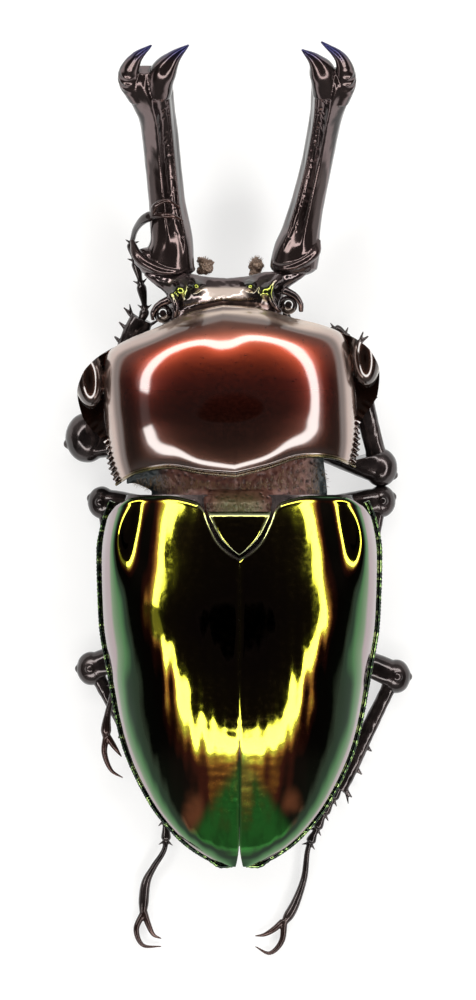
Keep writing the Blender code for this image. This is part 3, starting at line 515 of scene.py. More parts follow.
def wing_case_finish():
    made, drawn, shader, place = finish("wing_case", Coat_Weight=0.12, Coat_Roughness=0.03)
    slope = drawn.parts(drawn.node("NewGeometry", out=1))[2]
    where = drawn.parts(place)
    patches = drawn.node("TexNoise", place, None, 260.0, 3.0)
    slope = drawn.calc("ADD", slope, drawn.calc("MULTIPLY", drawn.calc("SUBTRACT", patches, 0.5), 0.035))
    # The steep sides behind about 12 mm get their slope lifted, so that less of the painted pale floor
    # reflection shows there.
    steep = drawn.span(slope, 0.5, 0.75, 0.12, 0.0)
    low_side = drawn.calc("MULTIPLY", drawn.span(where[1], 11.0 * MM, 14.0 * MM), steep)
    low_side = drawn.calc("MULTIPLY", low_side, drawn.span(where[1], 16.0 * MM, 21.0 * MM, 1.0, 0.3))
    # Painted reflection, partly the shell's own colour shift: gold, with red and orange just below it, where
    # the ring of lamps is mirrored seen from straight above; near black where the dim walls are mirrored;
    # pale grey on the steep sides where the pale floor is mirrored.
    hue = drawn.ramp(drawn.calc("ADD", slope, low_side), [
        (0.0, (0.38, 0.3, 0.31)), (0.43, (0.34, 0.27, 0.28)), (0.49, (0.15, 0.23, 0.13)),
        (0.61, (0.06, 0.16, 0.06)), (0.67, (0.012, 0.03, 0.014)), (0.84, (0.02, 0.012, 0.008)),
        (0.872, (0.16, 0.035, 0.018)), (0.888, (0.6, 0.24, 0.04)), (0.905, (0.5, 0.46, 0.04)),
        (0.945, (0.4, 0.4, 0.03)),
        (0.962, (0.1, 0.07, 0.02)), (1.0, (0.07, 0.04, 0.03)),
    ])
    behind = drawn.calc("SUBTRACT", where[1], WEDGE_START * MM)
    aside = drawn.calc("ABSOLUTE", drawn.calc("ADD", where[0], 0.35 * MM))
    wedge = drawn.calc("SUBTRACT", drawn.calc("MULTIPLY", behind, WEDGE_SLOPE), aside)
    streaks = lengthwise_streaks(drawn, place)
    upper = drawn.span(slope, 0.68, 0.76)
    thinned = drawn.span(streaks, 0.25, 0.6, 0.45, 1.0)
    green = drawn.calc("MULTIPLY", drawn.span(wedge, -0.7 * MM, 0.7 * MM), thinned)
    ring_x = drawn.calc("MULTIPLY", drawn.calc("SUBTRACT", aside, COPPER_AT[0] * MM), 1 / MM)
    ring_y = drawn.calc("MULTIPLY", drawn.calc("SUBTRACT", where[1], COPPER_AT[1] * MM), 0.5 / MM)
    squares = drawn.calc("ADD", drawn.calc("POWER", ring_x, 2.0), drawn.calc("POWER", ring_y, 2.0))
    reach = drawn.calc("SQRT", squares)
    copper = drawn.calc("MULTIPLY", drawn.span(reach, 0.3, 1.1, 1.0, 0.0), drawn.span(patches, 0.3, 0.6))
    hue = drawn.mix(drawn.calc("MULTIPLY", copper, upper), hue, (0.42, 0.14, 0.06, 1))
    hue = drawn.mix(drawn.calc("MULTIPLY", green, upper), hue, (0.05, 0.3, 0.05, 1))
    line = drawn.node("Attribute", out=2, attribute_name="line")
    hue = drawn.mix(line, hue, (0.42, 0.46, 0.28, 1))
    edge = drawn.node("Attribute", out=2, attribute_name="edge")
    specks = drawn.node("TexNoise", place, None, 2600.0, 1.0)
    rim = drawn.ramp(specks, [
        (0.5, (0.012, 0.02, 0.014)), (0.58, (0.12, 0.22, 0.07)), (0.66, (0.3, 0.4, 0.15)),
    ])
    hue = drawn.mix(edge, hue, rim)
    drawn.feed(shader.inputs["Base Color"], hue)
    drawn.feed(shader.inputs["Metallic"], drawn.span(line, 0.0, 1.0, 1.0, 0.5))
    fine = drawn.node("TexNoise", place, None, 2600.0, 2.0)
    drawn.feed(shader.inputs["Roughness"], drawn.span(fine, 0.3, 0.8, 0.05, 0.13))
    grain_bump(drawn, shader, fine, 0.1, 0.02)
    return made


# %% Pronotum finish
def pronotum_finish():
    made, drawn, shader, place = finish(
        "pronotum_shell", Metallic=1.0, Coat_Weight=1.0, Coat_Roughness=0.09, Coat_IOR=1.95,
        Coat_Tint=(1.0, 0.94, 0.82, 1.0),
    )
    slope = drawn.parts(drawn.node("NewGeometry", out=1))[2]
    where = drawn.parts(place)
    disc = drawn.ramp(drawn.span(where[1], -2.0 * MM, -14.5 * MM), [
        (0.0, (0.05, 0.022, 0.016)), (0.35, (0.07, 0.014, 0.01)), (0.6, (0.12, 0.016, 0.01)),
        (0.85, (0.32, 0.045, 0.016)), (1.0, (0.25, 0.1, 0.07)),
    ])
    hue = drawn.mix(drawn.span(slope, 0.84, 0.66), disc, (0.09, 0.045, 0.035, 1))
    # Painted reflection: the steep sides are pale pink-grey, paler towards the front lip, where the pale
    # floor is mirrored.
    steep = drawn.mix(drawn.span(where[1], -12.4 * MM, -13.4 * MM), (0.4, 0.3, 0.3, 1), (0.62, 0.5, 0.46, 1))
    hue = drawn.mix(drawn.span(slope, 0.66, 0.5), hue, steep)
    lobe = drawn.node("Attribute", out=2, attribute_name="lobe")
    hue = drawn.mix(lobe, hue, (0.03, 0.012, 0.008, 1))
    # Painted highlight: a yellow glint along the beaded hind edge, with less roughness there.
    edge = drawn.node("Attribute", out=2, attribute_name="edge")
    hue = drawn.mix(edge, hue, (0.2, 0.2, 0.06, 1))
    drawn.feed(shader.inputs["Base Color"], hue)
    fine = drawn.node("TexNoise", place, None, 3400.0, 2.0)
    rough = drawn.span(fine, 0.2, 0.8, 0.27, 0.33)
    drawn.feed(shader.inputs["Roughness"], drawn.calc("SUBTRACT", rough, drawn.calc("MULTIPLY", edge, 0.15)))
    pits = drawn.node("TexVoronoi", place, None, 2200.0)
    grain_bump(drawn, shader, drawn.span(pits, 0.0, 0.35), 0.04, 0.01)
    return made


# %% Head finish
PAINTED_REFLECTION_AT = (1.0, -15.65)


def head_finish():
    made, drawn, shader, place = finish("head_shell", Coat_Weight=0.6, Coat_Roughness=0.05)
    slope = drawn.parts(drawn.node("NewGeometry", out=1))[2]
    where = drawn.parts(place)
    mottle = drawn.node("TexNoise", place, None, 900.0, 4.0)
    hue = drawn.ramp(mottle, [(0.35, (0.055, 0.04, 0.04)), (0.65, (0.12, 0.085, 0.085))])
    boss = drawn.node("Attribute", out=2, attribute_name="boss")
    glint = drawn.ramp(slope, [
        (0.8, (0.012, 0.02, 0.012)), (0.89, (0.3, 0.33, 0.02)), (1.0, (0.06, 0.09, 0.02)),
    ])
    hue = drawn.mix(boss, hue, glint)
    # Painted reflection: a pale cream-pink band behind the bosses, less metallic, standing in for a bright
    # light mirrored in a smooth hollow of the head.
    across = drawn.calc("ABSOLUTE", drawn.calc("SUBTRACT", where[0], PAINTED_REFLECTION_AT[0] * MM))
    lengthwise = drawn.calc("ABSOLUTE", drawn.calc("SUBTRACT", where[1], PAINTED_REFLECTION_AT[1] * MM))
    in_length = drawn.span(lengthwise, 0.3 * MM, 0.6 * MM, 1.0, 0.0)
    painted_reflection = drawn.calc("MULTIPLY", drawn.span(across, 1.2 * MM, 2.1 * MM, 1.0, 0.0), in_length)
    hue = drawn.mix(painted_reflection, hue, (0.6, 0.49, 0.43, 1))
    drawn.feed(shader.inputs["Base Color"], hue)
    drawn.feed(shader.inputs["Metallic"], drawn.span(painted_reflection, 0.0, 1.0, 0.9, 0.15))
    drawn.feed(shader.inputs["Roughness"], drawn.span(mottle, 0.3, 0.7, 0.08, 0.16))
    pits = drawn.node("TexVoronoi", place, None, 4200.0)
    grain_bump(drawn, shader, drawn.span(pits, 0.0, 0.4), 0.12, 0.012)
    return made


# %% Mandible finish
def horn_finish():
    made, drawn, shader, place = finish(
        "mandible_horn", Coat_Weight=0.25, Coat_Roughness=0.04, Metallic=0.85
    )
    slope = drawn.parts(drawn.node("NewGeometry", out=1))[2]
    where = drawn.parts(place)
    tips = drawn.span(where[1], -32.7 * MM, -33.9 * MM)
    streaks = lengthwise_streaks(drawn, place)
    uneven = drawn.calc("MULTIPLY", drawn.calc("SUBTRACT", streaks, 0.5), 0.35)
    lower = drawn.span(where[1], -27.0 * MM, -23.5 * MM, 0.0, 0.22)
    # Painted reflection, partly the horn's own tone: a pale pinkish band at one slope, shifted by streaks
    # and towards the root, where the pale floor is mirrored; the rest is near black.
    hue = drawn.ramp(drawn.calc("ADD", drawn.calc("ADD", slope, uneven), lower), [
        (0.0, (0.012, 0.009, 0.009)), (0.5, (0.02, 0.015, 0.015)), (0.59, (0.14, 0.105, 0.105)),
        (0.67, (0.15, 0.11, 0.11)), (0.76, (0.04, 0.028, 0.027)), (1.0, (0.07, 0.048, 0.046)),
    ])
    hue = drawn.mix(tips, hue, (0.02, 0.02, 0.09, 1))
    drawn.feed(shader.inputs["Base Color"], hue)
    drawn.feed(shader.inputs["Roughness"], drawn.span(streaks, 0.3, 0.75, 0.08, 0.2))
    pits = drawn.node("TexVoronoi", place, None, 3000.0)
    grain_bump(drawn, shader, drawn.span(pits, 0.0, 0.3), 0.15, 0.012)
    return made


# %% Leg finish
def leg_finish():
    made, drawn, shader, place = finish("leg_shell", Coat_Weight=0.5, Coat_Roughness=0.05, Metallic=0.7)
    slope = drawn.parts(drawn.node("NewGeometry", out=1))[2]
    mottle = drawn.node("TexNoise", place, None, 700.0, 4.0)
    hue = drawn.ramp(mottle, [(0.35, (0.02, 0.015, 0.015)), (0.65, (0.055, 0.04, 0.039))])
    # Painted shade: darker where the surface faces sideways or down.
    hue = drawn.mix(drawn.span(slope, 0.55, 0.35), hue, (0.012, 0.009, 0.009, 1))
    ends = drawn.node("Attribute", out=2, attribute_name="claw")
    hue = drawn.mix(ends, hue, (0.05, 0.016, 0.01, 1))
    drawn.feed(shader.inputs["Base Color"], hue)
    drawn.feed(shader.inputs["Roughness"], drawn.span(mottle, 0.3, 0.7, 0.1, 0.26))
    pits = drawn.node("TexVoronoi", place, None, 3600.0)
    grain_bump(drawn, shader, drawn.span(pits, 0.0, 0.35), 0.3, 0.015)
    return made


# %% Eye, waist, hair and brush finishes
def eye_finish():
    made, drawn, shader, place = finish(
        "eye_facets", Roughness=0.1, IOR=1.8, Coat_Weight=1.0, Coat_Roughness=0.02
    )
    facets = drawn.node("TexVoronoi", place, None, 14000.0)
    tone = drawn.ramp(facets, [(0.0, (0.02, 0.01, 0.008)), (0.6, (0.007, 0.004, 0.004))])
    drawn.feed(shader.inputs["Base Color"], tone)
    grain_bump(drawn, shader, facets, 0.2, 0.01)
    return made


def waist_finish():
    made, drawn, shader, place = finish("waist_shell", Roughness=0.38, Metallic=0.35)
    pits = drawn.node("TexVoronoi", place, None, 2600.0)
    where = drawn.parts(place)
    middle = drawn.calc("ABSOLUTE", where[0])
    hue = drawn.ramp(pits, [
        (0.05, (0.012, 0.004, 0.003)), (0.4, (0.075, 0.026, 0.02)), (0.8, (0.12, 0.05, 0.036)),
    ])
    by_middle = drawn.span(middle, 2.6 * MM, 0.8 * MM)
    toward_hind = drawn.span(where[1], -1.4 * MM, 0.6 * MM, 0.0, 0.6)
    near_scutellum = drawn.calc("MULTIPLY", toward_hind, by_middle)
    hue = drawn.mix(near_scutellum, hue, (0.07, 0.09, 0.025, 1))
    # Painted shade: near black towards the sides, where the waist lies in the gap between the pronotum and
    # the wing cases.
    hue = drawn.mix(drawn.span(middle, 4.8 * MM, 6.3 * MM), hue, (0.006, 0.012, 0.014, 1))
    drawn.feed(shader.inputs["Base Color"], hue)
    grain_bump(drawn, shader, drawn.span(pits, 0.0, 0.5), 0.8, 0.05)
    return made


def hair_finish(name, dark, pale):
    made, drawn, shader, place = finish(name, Roughness=0.45)
    shade = drawn.node("TexNoise", place, None, 1500.0, 3.0)
    drawn.feed(shader.inputs["Base Color"], drawn.ramp(shade, [(0.3, dark), (0.7, pale)]))
    drawn.feed(shader.inputs["Roughness"], drawn.span(shade, 0.3, 0.7, 0.35, 0.55))
    return made


WING_CASE = wing_case_finish()
PRONOTUM = pronotum_finish()
HEAD = head_finish()
HORN = horn_finish()
LEG = leg_finish()
EYE = eye_finish()
WAIST = waist_finish()
GOLD_HAIR = hair_finish("gold_hair", (0.05, 0.025, 0.012), (0.2, 0.12, 0.05))
BRUSH = hair_finish("mouth_brush", (0.09, 0.05, 0.035), (0.36, 0.25, 0.18))
print("finishes ready:", len(bpy.data.materials))

# %% [markdown]
# ## Wing cases
# The two wing cases are one long dome, split down the middle. Each could be cut from a
# ball, but the real outline is wide at the shoulders and narrows to a rounded end, so each
# is an open sheet between the seam and a named outline, thickened inwards by Solidify. A
# faint lengthwise ripple breaks up reflections as on the real shell. The rim is a separate
# bead along the outline that swells and sinks, so that it glitters like the real one.

# %% Sizes of the wing cases
ELYTRA_END = 27.55
ELYTRA_HALF_WIDTH = (
    (-0.6, 9.6), (1.5, 10.4), (3.8, 10.75), (8.9, 10.6), (13.0, 9.95),
    (18.0, 8.96), (22.5, 6.97), (25.4, 4.7), (26.9, 2.7), (27.6, 1.1),
)
ELYTRA_CROWN = (
    (-2.0, 10.3), (0.0, 10.85), (2.0, 11.3), (6.0, 11.9), (9.0, 12.1), (12.0, 12.0), (15.0, 11.6),
    (18.3, 10.6), (21.0, 9.3), (24.0, 7.7), (25.4, 6.9), (26.3, 6.2), (27.0, 5.4), (27.6, 4.7),
)
ELYTRA_RIM = ((-2.0, 6.4), (4.0, 5.4), (13.0, 4.9), (20.0, 4.9), (25.0, 4.7), (27.6, 4.3))
ELYTRA_ARCH = ((0.0, 2.1), (4.0, 2.4), (8.5, 3.2), (12.0, 2.6), (15.0, 2.2), (27.6, 2.1))
ELYTRA_FRONT = (
    (0.0, 4.3), (0.08, 3.75), (0.155, 2.95), (0.235, 1.35), (0.27, 0.55), (0.34, 0.0), (0.58, -0.45),
    (0.84, -0.3), (0.95, 0.3), (1.0, 1.2),
)
SHOULDER_HUMP = 1.4
SHOULDER_AT = (0.94, 2.3)
SHOULDER_DIP = 0.3
SHOULDER_DIP_AT = 0.75
SHOULDER_SPREAD = (0.13, 2.8)
SHOULDER_DIP_SPREAD = (0.1, 3.2)
ELYTRON_ROWS = 160
ELYTRON_COLUMNS = 80
SHELL_THICKNESS = 0.4
END_CROWDING = 1.15
SEAM = 0.015
SEAM_OPENS = (25.6, 1.9, 0.25)
MIDLINE = -0.1
FLANGE = 0.34


def elytra_height(u, y, lower=0.0):
    """Height of the wing cases at share u of the half width, or of a layer below them."""
    high = arch(u, smooth(ELYTRA_RIM, y), soft(ELYTRA_CROWN, y, 1.0) - lower, smooth(ELYTRA_ARCH, y))
    if lower == 0:
        across, lengthwise = SHOULDER_SPREAD
        hump = SHOULDER_HUMP * bump(u, SHOULDER_AT[0], across) * bump(y, SHOULDER_AT[1], lengthwise)
        high += hump * (1 - u ** 20)
        across, lengthwise = SHOULDER_DIP_SPREAD
        high -= SHOULDER_DIP * bump(u, SHOULDER_DIP_AT, across) * bump(y, SHOULDER_AT[1], lengthwise)
    return high


print("crown height over the middle:", elytra_height(0, 12))

# %% One wing case
def make_elytron(side, name):
    rows = []
    for v in even(ELYTRON_ROWS):
        row = []
        for s in even(ELYTRON_COLUMNS):
            u = math.sin(math.pi / 2 * s)
            front = smooth(ELYTRA_FRONT, u)
            y = front + (ELYTRA_END - front) * (1 - (1 - v) ** END_CROWDING)
            half = soft(ELYTRA_HALF_WIDTH, y, 0.8) - FLANGE * 0.8
            opens_at, over, opening = SEAM_OPENS
            x = SEAM + opening * max(0.0, (y - opens_at) / over) ** 2
            x += (half - x) * u
            z = elytra_height(u, y)
            z += 0.06 * bump(y - front, 0.16, 0.08) - 0.25 * bump(y - front, 0.0, 0.12)
            z += 0.012 * bump(x, 0.13, 0.05) - 0.05 * bump(x, 0.0, 0.07)
            streaky = 0.5 + 0.5 * rise_between(y, 6.0, 15.0)
            z += streaky * 0.03 * ripple((x, y, 0), 0.55, 3.6, side) * (1 - u ** 6)
            z += 0.05 * ripple((x, y, 0), 3.2, 7.0, side + 5)
            crosswise = ripple((x, y, 0), 1.5, 0.4, side + 9)
            z += 0.008 * crosswise * rise_between(y, 14.0, 16.0) * bump(x, 0.0, 3.0)
            row.append(Vector((side * x + MIDLINE, y, z)))
        rows.append(row)
    sheet = bmesh.new()
    grid_faces(sheet, [[sheet.verts.new(p) for p in row] for row in rows], flip=side < 0)
    mesh = bpy.data.meshes.new(name)
    sheet.to_mesh(mesh)
    sheet.free()
    holder = bpy.data.objects.new("sheet", mesh)
    bpy.context.scene.collection.objects.link(holder)
    thick = holder.modifiers.new("Thickness", "SOLIDIFY")
    thick.thickness = SHELL_THICKNESS
    thick.offset = -1
    solid = bpy.data.meshes.new_from_object(holder.evaluated_get(bpy.context.evaluated_depsgraph_get()))
    bpy.data.objects.remove(holder)
    return solid


print("sheet points on each wing case:", ELYTRON_ROWS * ELYTRON_COLUMNS)


# %% Rims and pale lines of the wing cases
def rim_line(side, inset):
    """Points along the outer edge of a wing case, round its end to the seam."""
    line = []
    for y in [-0.1 + 27.2 * (1 - (1 - t) ** 1.5) for t in even(64)]:
        slope = (smooth(ELYTRA_HALF_WIDTH, y + 0.05) - smooth(ELYTRA_HALF_WIDTH, y - 0.05)) / 0.1
        out = Vector((1, -slope, 0)).normalized()
        at = Vector((smooth(ELYTRA_HALF_WIDTH, y), y, smooth(ELYTRA_RIM, y) + 0.05)) - out * inset
        line.append(Vector((side * at.x + MIDLINE, at.y, at.z)))
    line.append(Vector((side * 1.5 + MIDLINE, ELYTRA_END - 0.1, smooth(ELYTRA_RIM, 27) + 0.1)))
    line.append(Vector((side * 0.5 + MIDLINE, ELYTRA_END - 0.12, smooth(ELYTRA_RIM, 27) + 0.15)))
    return line


def beaded(rings, depth, pitch):
    """Small knobs round a rim, from a ring width that swells and sinks."""
    for index, row in enumerate(rings):
        middle = sum(row, Vector()) / len(row)
        swell = 1 + depth * math.sin(index * pitch) + depth * chance.uniform(-0.6, 0.6)
        row[:] = [middle + (p - middle) * swell for p in row]
    return rings


def pale_line(co):
    """The thin pale lines beside the seam and along the inner part of the front edge."""
    x = abs(co.x - MIDLINE)
    u = min(1.0, x / smooth(ELYTRA_HALF_WIDTH, co.y))
    front = smooth(ELYTRA_FRONT, u)
    steepness = math.hypot(1.0, (smooth(ELYTRA_FRONT, u + 0.01) - front) / 0.104)
    return max(0.12 * bump(x, 0.1, 0.06), 0.7 * bump((co.y - front) / steepness, 0.07, 0.07) * (x < 5.2))


print("points along a rim:", len(rim_line(1, 0.16)))

# %% Both wing cases
for side, name in ((1, "elytron_L"), (-1, "elytron_R")):
    body = bmesh.new()
    body.from_mesh(make_elytron(side, name))
    plain = len(body.verts)
    bead = limb(rim_line(side, 0.16), ((0, 0.14, 0.13), (0.1, 0.2, 0.17), (1, 0.2, 0.17)), even(420), 8)
    inner = limb(rim_line(side, 0.4), ((0, 0.1, 0.1), (1, 0.1, 0.1)), even(260), 8)
    mesh = paint(join([body, tube(beaded(bead, 0.1, 2.1)), tube(inner)]), "line", pale_line)
    shell(name, paint(mesh, "edge", [i >= plain for i in range(len(mesh.vertices))]), WING_CASE)

# %% [markdown]
# ## Scutellum and waist
# Between the roots of the wing cases sits the small scutellum, and in front of it the waist,
# a red-brown strip under short golden hair. Both are slabs with named half widths. The
# scutellum has a fine pale rim, raised a little from its skin and painted on it.


# %% Scutellum
SCUTELLUM_HALF_WIDTH = ((0.75, 2.4), (1.1, 2.25), (2.75, 1.4), (3.55, 0.65), (4.0, 0.06))


def make_scutellum():
    top, bottom, lines = [], [], []
    for y in even(60, 0.75, 4.0):
        width = smooth(SCUTELLUM_HALF_WIDTH, y)
        row = []
        for u in even(41, -1, 1):
            high = smooth(ELYTRA_CROWN, y) - 0.03 * (u * width) ** 2 - 0.16 - 0.3 * bump(y, 0.7, 0.2)
            high += 0.05 * bump(abs(u), 0.95, 0.05) + 0.006 * ripple((u * width, y, 0), 0.25, 0.25)
            row.append(Vector((u * width + MIDLINE, y, high)))
            lines.append(max(bump(abs(u) * width, width - 0.06, 0.07), 0.8 * bump(y, 1.0, 0.12)))
        top.append(row)
        bottom.append([p - Vector((0, 0, 0.5)) for p in row])
    mesh = join([slab(top, bottom)])
    paint(mesh, "edge", [0.0] * len(mesh.vertices))
    return paint(mesh, "line", lines + [0.0] * (len(mesh.vertices) - len(lines)))


shell("scutellum", make_scutellum(), WING_CASE)

# %% Where the fore body turns
FORE_PIVOT = (0.05, -0.1)
FORE_YAW = math.radians(4.4)
HEAD_AT = (0.85, -14.3)
HEAD_YAW = math.radians(1.0)


def turned(origin, yaw, x, ahead, z=0.0):
    """A point at x beside and so far ahead of an origin, on an axis turned by yaw."""
    return Vector((
        origin[0] + x * math.cos(yaw) + ahead * math.sin(yaw),
        origin[1] + x * math.sin(yaw) - ahead * math.cos(yaw),
        z,
    ))


print("the fore body turns by", round(math.degrees(FORE_YAW), 1), "degrees")

# %% Sizes of the pronotum
PRONOTUM_LENGTH = 12.5
PRONOTUM_ROWS = 180
PRONOTUM_COLUMNS = 281
PRONOTUM_HIND = ((0.0, 1.66), (0.28, 2.1), (0.56, 2.75), (0.8, 2.6), (1.0, 1.75))
PRONOTUM_FRONT = ((0.0, 14.7), (0.3, 14.35), (0.6, 13.4), (0.85, 12.75), (1.0, 12.2))
PRONOTUM_SIDE = (
    (0.0, 9.0), (0.16, 9.45), (0.31, 9.6), (0.37, 10.0), (0.43, 10.6), (0.52, 11.15), (0.68, 11.4),
    (0.82, 10.9), (0.94, 9.6), (1.0, 8.4),
)
PRONOTUM_DOME = (
    (0.0, 8.6), (0.16, 9.1), (0.31, 9.3), (0.47, 9.45), (0.68, 9.4), (0.82, 9.2), (0.94, 8.8), (1.0, 8.3),
)
PRONOTUM_CROWN = (
    (0.0, 10.7), (0.03, 10.97), (0.06, 11.16), (0.1, 11.33), (0.2, 11.6), (0.36, 11.8), (0.5, 11.72),
    (0.64, 11.5), (0.77, 11.12), (0.83, 10.83), (0.88, 10.45), (0.92, 9.95), (0.96, 9.3), (1.0, 8.4),
)
PRONOTUM_EDGE = ((0.0, 7.0), (0.5, 6.3), (1.0, 6.2))
DOME_POWER = ((0.0, 2.35), (0.55, 2.72), (1.0, 2.75))
LOBE_AT = (10.4, 10.0)
LOBE_RADII = (1.15, 2.2, 1.9)
LOBE_FLATNESS = 0.25
BELLY = 2.75
THROAT = 3.0
BELLY_ARCH = 2.2
GAP = 0.3
print("widest half of the pronotum:", max(half for _, half in PRONOTUM_SIDE))


# %% Heights of the pronotum
def pronotum_margin(u, v):
    hind = soft(PRONOTUM_HIND, abs(u), 0.1)
    return hind + (soft(PRONOTUM_FRONT, abs(u), 0.1) - hind) * v


def pronotum_below(u, v, lower=0.0):
    return smooth(PRONOTUM_EDGE, v) - 0.6 - 0.9 * (1 - u * u) - lower


def lobe_share(x, ahead):
    """How far a point of the pronotum lies inside the egg-shaped lobe at its side: 1 in its middle."""
    aside = (abs(x) - LOBE_AT[0]) / LOBE_RADII[0]
    forward = (ahead - LOBE_AT[1]) / LOBE_RADII[1]
    return max(0.0, 1 - aside ** 2 - forward ** 2)


def pronotum_height(x, ahead, v):
    """A dome with an egg-shaped lobe beside it, behind a crease."""
    edge = smooth(PRONOTUM_EDGE, v)
    power = smooth(DOME_POWER, v)
    share = min(1.0, x / soft(PRONOTUM_DOME, v, 0.06))
    dome = edge + (soft(PRONOTUM_CROWN, v, 0.04) - edge) * (1 - share ** power) ** (1 / power)
    lobe = edge + LOBE_RADII[2] * lobe_share(x, ahead) ** LOBE_FLATNESS
    return higher(dome, lobe) - math.log(2) / 9.0 * (share >= 1.0 and lobe == edge)


def pronotum_point(u, v):
    """The upper face, with its beaded hind edge, front lip and knobbly side edge."""
    half = smooth(PRONOTUM_SIDE, v)
    ahead = pronotum_margin(u, v)
    high = pronotum_height(abs(u) * half, ahead, v)
    high -= 0.18 * bump(u, 0.0, 0.12) * bump(v, 0.86, 0.12)
    from_hind = PRONOTUM_LENGTH * v
    bead = 0.12 * bump(from_hind, 0.1, 0.08) - 0.1 * bump(from_hind, 0.22, 0.05)
    high += bead + 0.05 * bump(from_hind, 0.32, 0.06)
    from_front = PRONOTUM_LENGTH * (1 - v)
    high += 0.06 * bump(from_front, 0.12, 0.1) - 0.05 * bump(from_front, 0.4, 0.15)
    knobs = bump(v, 0.16, 0.17) * max(0.0, (abs(u) - 0.93) / 0.07)
    half += 0.12 * knobs * math.sin(v * 160)
    high += 0.1 * knobs * math.sin(v * 160 + abs(u) * 40)
    high += 0.008 * ripple((u * 10, v * 12, 0), 1.6, 1.6)
    return turned(FORE_PIVOT, FORE_YAW, u * half, ahead, high)


print("height in the middle of the pronotum:", round(pronotum_point(0, 0.5).z, 2))


# %% Pronotum
def make_pronotum():
    across = [math.sin(math.pi / 2 * s) for s in even(PRONOTUM_COLUMNS, -1, 1)]
    lengths = spread(PRONOTUM_ROWS)
    top = [[pronotum_point(u, v) for u in across] for v in lengths]
    bottom = [
        [Vector((p.x, p.y, pronotum_below(u, v))) for p, u in zip(row, across)]
        for row, v in zip(top, lengths)
    ]
    mesh = join([slab(top, bottom)])
    rest = [0.0] * (len(mesh.vertices) - len(across) * len(lengths))
    painted_edge_glint, dark = [], []
    for v in lengths:
        for u in across:
            x = u * smooth(PRONOTUM_SIDE, v)
            # Painted highlight along the hind edge, strongest about 7 mm out to each side.
            painted_edge_glint.append(bump(PRONOTUM_LENGTH * v, 0.14, 0.14) * (0.35 + 0.65 * bump(abs(x), 6.8, 1.5)))
            beside = rise_between(abs(x), smooth(PRONOTUM_DOME, v) - 0.1, smooth(PRONOTUM_DOME, v) + 0.15)
            dark.append(beside * rise_between(v, 0.02, 0.06))
    paint(mesh, "edge", painted_edge_glint + rest)
    return paint(mesh, "lobe", dark + rest)


shell("pronotum", make_pronotum(), PRONOTUM, sharp=50)

# %% Waist and underside of the fore body
WAIST_SPAN = (-0.6, 1.9)
WAIST_HALF_WIDTH = 6.5
WAIST_TOP = 9.0
WAIST_EDGE = 5.0
PROSTERNUM_SHARE = ((0.0, 0.72), (0.3, 0.84), (0.7, 0.8), (0.85, 0.62))


def waist_place(u, v):
    """Plan position on the waist: v is 0 at the hind edge of the pronotum and 1 at the wing cases."""
    half = WAIST_HALF_WIDTH + (1.7 * (1 - max(0.0, min(1.0, v))) if u > 0 else 0.2)
    x = u * half
    front = turned(FORE_PIVOT, FORE_YAW, x, smooth(PRONOTUM_HIND, abs(x) / 9.0) - GAP - 0.05)
    if v > 1:
        return Vector((x, -0.8 + 2.0 * (v - 1), 0))
    if v < 0:
        return front + Vector((0, v, 0))
    return front + (Vector((x, -0.8, 0)) - front) * v


def waist_height(u, v, place):
    high = WAIST_TOP + 0.1 * max(0.0, v) - 1.3 * abs(u) ** 3 - 0.14 * bump(place.x, 0.0, 0.12)
    high += 1.35 * rise_between(v, 0.8, 1.5) * bump(place.x, 0.0, 2.9)
    return high + 0.08 * ripple((place.x, place.y, 0), 0.35, 0.35)


def waist_layers(u, v):
    place = waist_place(u, v)
    high = waist_height(u, v, place)
    if v > 1 and abs(place.x) > 2.5:
        high -= 0.3 * (v - 1)
    return place, high, arch(u, WAIST_EDGE, BELLY, BELLY_ARCH)


def prosternum_layers(u, v):
    inner = u * smooth(PROSTERNUM_SHARE, v)
    place = turned(FORE_PIVOT, FORE_YAW, inner * smooth(PRONOTUM_SIDE, v), pronotum_margin(inner, v))
    high = pronotum_below(inner, v, GAP)
    low = arch(u, high - 0.5, THROAT, BELLY_ARCH)
    low += 0.12 * bump(abs(u), 0.62, 0.03) + 0.03 * ripple((place.x, place.y, 0), 0.4, 0.4)
    return place, high, low


waist = slab_between(even(32, *WAIST_SPAN), even(111, -1, 1), waist_layers)
shell("mesothorax", join([waist]), WAIST)
prosternum = slab_between(even(40, 0.0, PROSTERNUM_SHARE[-1][0]), even(61, -1, 1), prosternum_layers)
shell("prosternum", join([prosternum]), LEG)

# %% [markdown]
# ## Underside of the hind body
# Below the wing cases lie the broad plate between the middle and hind legs and the abdomen
# with its overlapping rings. Each is a tube of many sides whose lower half is nearly flat,
# with a step at each ring, and a thin line down the middle of the plate.

# %% Plate and abdomen
RING_STEPS = (11.9, 14.9, 17.8, 20.7, 23.6)
STEP_LENGTH = 1.4
HIND_BODY_SIDES = 72


def hind_body_rings(places):
    rings = []
    for y in places:
        clear = 0.98 + (0.17 if y < 4.2 else 0.6 * max(0.0, (y - 23.3) / 2.0) ** 2)
        width = smooth(ELYTRA_HALF_WIDTH, y) - clear
        rim = smooth(ELYTRA_RIM, y) - 0.1
        belly = BELLY + 1.2 * max(0.0, (y - 20.0) / 6.5) ** 2
        for step in RING_STEPS:
            before = step - y
            tilt = max(0.0, min(1.0, before / STEP_LENGTH)) * (0 < before < STEP_LENGTH)
            belly += 0.26 * bump(y, step, 0.13) + 0.1 * tilt
        points = []
        for k in range(HIND_BODY_SIDES):
            angle = 2 * math.pi * (k + 0.5) / HIND_BODY_SIDES
            u = math.cos(angle)
            if angle < math.pi:
                z = elytra_height(abs(u), y, clear)
            else:
                z = arch(u, rim, belly, BELLY_ARCH)
                z += 0.03 * ripple((width * u, y, 0), 0.5, 0.5) + 0.12 * bump(width * u, 0, 0.1) * (y < 8.6)
            points.append(Vector((width * u + MIDLINE, y, z)))
        rings.append(points)
    return rings


